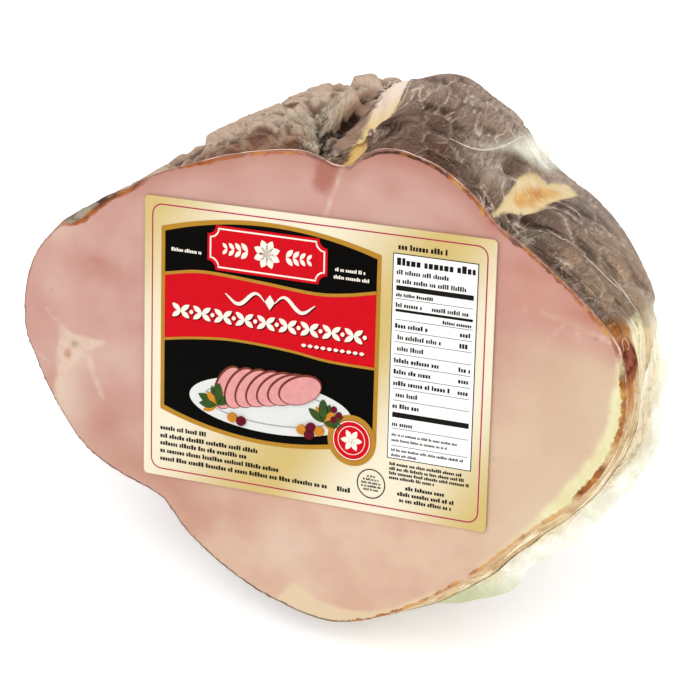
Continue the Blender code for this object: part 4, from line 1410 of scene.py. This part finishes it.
def print_ornaments():
    """Cream ornaments in the band, the plaque and the roundel, with a dark shade behind."""
    cream, shade = Ink(), Ink()
    for ink, layer, shift in ((shade, 5, 0.35), (cream, 7, 0.0)):
        for unit in range(9):
            x, y = -50.6 + 8.2 * unit + shift, 11.0 - shift
            for turn in (35, 145, 215, 325):
                ink.leaf(x, y, 4.1, turn, 0.22, layer)
            ink.plate(oval(x + 4.1, y, 0.75, 0.75, count=12), layer)
        swirl = np.linspace(0.0, 1.0, 26)
        for side in (-1.0, 1.0):
            run = -16.5 + side * (2.0 + 15.0 * swirl) + shift
            rise = 18.4 + 2.7 * np.sin(2.2 * math.pi * swirl) * (1.0 - 0.35 * swirl) - shift
            ink.stroke(np.stack([run, rise], axis=1), 0.25 + 1.1 * np.sin(math.pi * swirl), layer)
        ink.plate([(-16.5 + shift, 15.8 - shift), (-14.6 + shift, 18.4 - shift),
                   (-16.5 + shift, 21.0 - shift), (-18.4 + shift, 18.4 - shift)], layer)
        for unit in range(10):
            ink.leaf(-4.4 + 2.4 * unit + shift, 5.2 - shift, 1.9, 0, 0.32, layer)
    cream.loop(round_box(21.7, 7.0, 3.2, *PLAQUE, dished=True), 0.55, 4)
    for turn in range(0, 360, 45):
        cream.leaf(*PLAQUE, 5.2, turn + 22.5, 0.27, 4)
    for side in (-1, 1):
        for unit in range(4):
            x = PLAQUE[0] + side * (7.2 + 2.6 * unit)
            for lean in (48, -48):
                turn = lean if side > 0 else 180 - lean
                cream.leaf(x, PLAQUE[1], 3.7 - 0.35 * unit, turn, 0.24, 4)
    cream.loop(oval(*ROUNDEL, 6.9, 6.9), 0.3, 6)
    cream.loop(oval(*ROUNDEL, 5.1, 5.1), 0.25, 6)
    for turn in range(0, 360, 60):
        cream.leaf(*ROUNDEL, 4.0, turn, 0.25, 6)
    for start, stop, y in ((-54.5, -43.0, 31.8), (7.5, 19.0, 32.6), (7.0, 20.0, 30.0)):
        cream.words(start, stop, y, 1.25, int(y * 10), 0.3, 3)
    shade.finish("print_shade", ink_finish("ink_shade", (58, 8, 12)))
    cream.finish("print_ornaments", ink_finish("ink_cream", (246, 236, 222)))


def print_picture():
    """A dish with a fan of sliced meat between sprigs, berries and orange rounds."""
    china, grey, meat, rind, green, berry, orange = (Ink() for _ in range(7))
    china.plate(oval(-16.0, -18.5, 31.0, 9.6, count=56), 3)
    grey.loop(oval(-16.0, -18.2, 25.5, 7.0, count=56), 0.5, 4)
    for unit in range(7):
        x, y, turn = -32.0 + 4.6 * unit, -14.0 + 0.55 * unit, 66 - 7 * unit
        rind.plate(oval(x, y, 8.6, 5.0, turn), 4 + unit * 2)
        meat.plate(oval(x + 0.3, y - 0.2, 8.1, 4.5, turn), 5 + unit * 2)
    for side, x in ((-1, -36.0), (1, 4.6)):
        for unit in range(9):
            turn = 90 - side * (115 - 24 * unit) if unit < 8 else 90
            (green if unit % 3 else orange).leaf(x, -21.0, 6.2 + unit % 3, turn, 0.2, 5 + unit % 2)
    for unit, (x, y) in enumerate(((-30, -24.4), (-26.6, -25.2), (-3.5, -24.6), (0, -23.4),
                                   (3.2, -24.2), (-0.6, -26.0))):
        (berry if unit % 2 else orange).plate(oval(x, y, 1.8, 1.7, count=20), 20)
    for unit in range(3):
        berry.plate(oval(8.4 + 1.9 * (unit % 2), -19.4 + 1.8 * unit, 1.2, 1.2, count=16), 8)
    china.finish("print_dish", ink_finish("ink_china", (222, 222, 218)))
    grey.finish("print_dish_line", ink_finish("ink_grey", (168, 168, 170)))
    rind.finish("print_slice_rind", ink_finish("ink_slice_rind", (128, 62, 50), 0.25))
    meat.finish("print_slices", ink_finish("ink_slice", (232, 160, 158), 0.16))
    green.finish("print_leaves", ink_finish("ink_leaf", (62, 92, 40), 0.3))
    berry.finish("print_berries", ink_finish("ink_berry", (112, 22, 40), 0.3))
    orange.finish("print_orange_rounds", ink_finish("ink_orange", (214, 140, 44), 0.2))


def print_text():
    """The facts table with its bars, and rows of strokes where the label carries words."""
    left, right, top, foot = TABLE
    white, black = Ink(), Ink()
    middle = (0.5 * (left + right), 0.5 * (top + foot))
    half = (0.5 * (right - left), 0.5 * (top - foot))
    black.plate(round_box(half[0], half[1], 0.1, *middle, steps=1), 1)
    white.plate(round_box(half[0] - 0.32, half[1] - 0.32, 0.1, *middle, steps=1), 2)
    inner, end = left + 1.5, right - 1.4
    for low, high in ((29.0, 30.7), (21.7, 22.6), (-15.0, -13.2)):
        black.bar(inner, end, low, high, 3)
    for y in (26.1, 18.9, 15.0, 11.2, 7.0, 3.0, -1.1, -5.0, -9.1, -19.0, -25.1):
        black.bar(inner, end, y, y + 0.16, 3)
    rows = [(0, 28.0, 37.6, 2.5, 0.42), (0, 19.5, 34.5, 1.6, 0.26), (0, 25.5, 31.5, 1.6, 0.26),
            (0, 14.0, 26.9, 1.2, 0.36), (0, 9.8, 23.3, 1.5, 0.32), (13, 27.2, 23.3, 1.5, 0.30),
            (17, 27.2, 19.6, 1.2, 0.36), (0, 12.0, 16.1, 1.6, 0.34), (1, 17.0, 12.2, 1.6, 0.28),
            (1, 11.0, 8.3, 1.6, 0.28), (0, 16.5, 4.1, 1.6, 0.34), (0, 13.7, 0.2, 1.6, 0.34),
            (0, 21.0, -3.8, 1.6, 0.34), (1, 9.5, -7.8, 1.6, 0.28), (0, 9.5, -11.8, 1.6, 0.34),
            (0, 7.3, -18.1, 1.5, 0.30), (0, 24.0, -21.6, 0.95, 0.28), (0, 20.5, -23.5, 0.95, 0.28),
            (0, 26.5, -27.0, 0.95, 0.28), (0, 9.5, -28.8, 0.95, 0.28)]
    for y in (16.1, 12.2, 4.1, 0.2, -3.8):
        rows.append((23.3, 27.4, y, 1.6, 0.36))
    for seed, (start, stop, y, height, weight) in enumerate(rows):
        black.words(inner + start, inner + stop, y, height, seed, weight, 3)
    lines = [(30.2, 48.0, 42.9, 1.9, 0.34), (-58.4, -40.2, -33.2, 1.6, 0.36),
             (-58.4, -20.4, -36.1, 1.6, 0.36), (-58.4, -24.4, -38.8, 1.6, 0.36),
             (-58.4, -11.6, -41.6, 1.6, 0.36), (-58.4, 6.9, -44.5, 1.6, 0.36),
             (10.2, 15.6, -44.6, 1.7, 0.34), (29.4, 56.0, -32.1, 1.1, 0.36),
             (29.4, 56.6, -33.8, 1.1, 0.36), (29.4, 58.4, -35.4, 1.1, 0.36),
             (29.4, 46.0, -37.0, 1.1, 0.36), (35.5, 50.0, -40.2, 1.4, 0.40),
             (32.6, 53.4, -42.5, 1.4, 0.40), (33.4, 52.4, -44.7, 1.4, 0.36)]
    for seed, (start, stop, y, height, weight) in enumerate(lines):
        black.words(start, stop, y, height, 100 + seed, weight, 1)
    black.loop(oval(22.8, -40.0, 5.3, 5.3, count=48), 0.4, 1)
    for row, half_wide in enumerate((1.6, 3.0, 3.6, 3.6, 2.8)):
        y = -37.7 - 1.2 * row
        black.words(22.8 - half_wide, 22.8 + half_wide, y, 0.8, 200 + row, 0.28, 1)
    white.finish("print_table_ground", ink_finish("ink_white", (243, 243, 240), 0.03))
    black.finish("print_table_and_text", ink_finish("ink_text", (26, 22, 20)))


def make_print():
    """Everything that is printed on the label, and the paper itself."""
    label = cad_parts["label"]
    label.data.materials.clear()
    label.data.materials.append(paper_finish())
    print_frames()
    print_ornaments()
    print_picture()
    print_text()


# ---------------------------------------------------------------- stage
CAMERA_TURN = math.radians(26.397)        # to the right of straight in front
CAMERA_RISE = math.radians(37.424)        # above level
CAMERA_REACH = 0.902817                   # distance from the label's middle, in metres
CAMERA_SHIFT = (0.0122127, 0.0036353)     # sideways and upwards from there, in metres
CAMERA_LENS = 137.0
SENSOR = 36.0
LIGHTS = [                                # name, turn, rise, distance, size and power
    ("key", -35.0, 50.0, 1.4, 1.1, 8.0), ("fill", 60.0, 28.0, 1.5, 1.2, 5.0),
    ("back", 160.0, 55.0, 1.3, 0.8, 4.0)]
LIGHTS_AIM = (0.0, 0.0, 0.08)             # the place that they look at
SKY = 0.68                                # strength of the world's even light
FLOOR_GLOW = 0.33


def make_camera():
    """A long lens that looks down at the cut from the front right."""
    back = Vector((math.sin(CAMERA_TURN) * math.cos(CAMERA_RISE),
                   -math.cos(CAMERA_TURN) * math.cos(CAMERA_RISE), math.sin(CAMERA_RISE)))
    right = Vector((math.cos(CAMERA_TURN), math.sin(CAMERA_TURN), 0.0))
    above = back.cross(right)
    lens = bpy.data.cameras.new("camera")
    lens.lens = CAMERA_LENS
    lens.sensor_width = SENSOR
    camera = add_piece("camera", lens)
    camera.location = (Vector(CENTRE) + right * CAMERA_SHIFT[0] + above * CAMERA_SHIFT[1]
                       + back * CAMERA_REACH)
    camera.rotation_euler = Matrix((right, above, back)).transposed().to_euler()
    scene.camera = camera


def make_light(name, turn, rise, reach, size, power):
    """A square soft box aimed at the ham, placed by its angles round the ham."""
    data = bpy.data.lights.new(name, "AREA")
    data.size = size
    data.energy = power
    lamp = add_piece(name, data)
    turn, rise = math.radians(turn), math.radians(rise)
    away = Vector((math.sin(turn) * math.cos(rise), -math.cos(turn) * math.cos(rise),
                   math.sin(rise)))
    lamp.location = Vector(LIGHTS_AIM) + away * reach
    lamp.rotation_euler = away.to_track_quat("Z", "Y").to_euler()


def make_stage():
    """A plain near-white floor, a pale world and soft lights."""
    bpy.ops.object.select_all(action="DESELECT")
    bpy.ops.mesh.primitive_plane_add(size=8.0, location=(0.0, 0.0, 0.0))
    floor = bpy.context.active_object
    floor.name = "floor"
    look = Finish("floor_white", Roughness=0.7, Emission_Strength=FLOOR_GLOW,
                  Base_Color=(0.93, 0.93, 0.93, 1.0), Emission_Color=(1.0, 1.0, 1.0, 1.0))
    floor.data.materials.append(look.material)
    world = bpy.data.worlds.new("studio")
    world.use_nodes = True
    background = world.node_tree.nodes["Background"]
    background.inputs["Color"].default_value = (1.0, 1.0, 1.0, 1.0)
    background.inputs["Strength"].default_value = SKY
    scene.world = world
    for light in LIGHTS:
        make_light(*light)
    scene.view_settings.view_transform = "Standard"


make_camera()
make_stage()
guide = bare_bag("guide")
outline = cut_outline(guide)
side = Side(guide)
bpy.data.objects.remove(guide)

packing = [make_ham(outline), make_film(), make_creases(side), make_edge_bead(outline)]
packing += [make_ply(*ply) for ply in FIN_PLIES]
for piece in packing:
    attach(piece, "root")
    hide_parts("bag")
make_print()
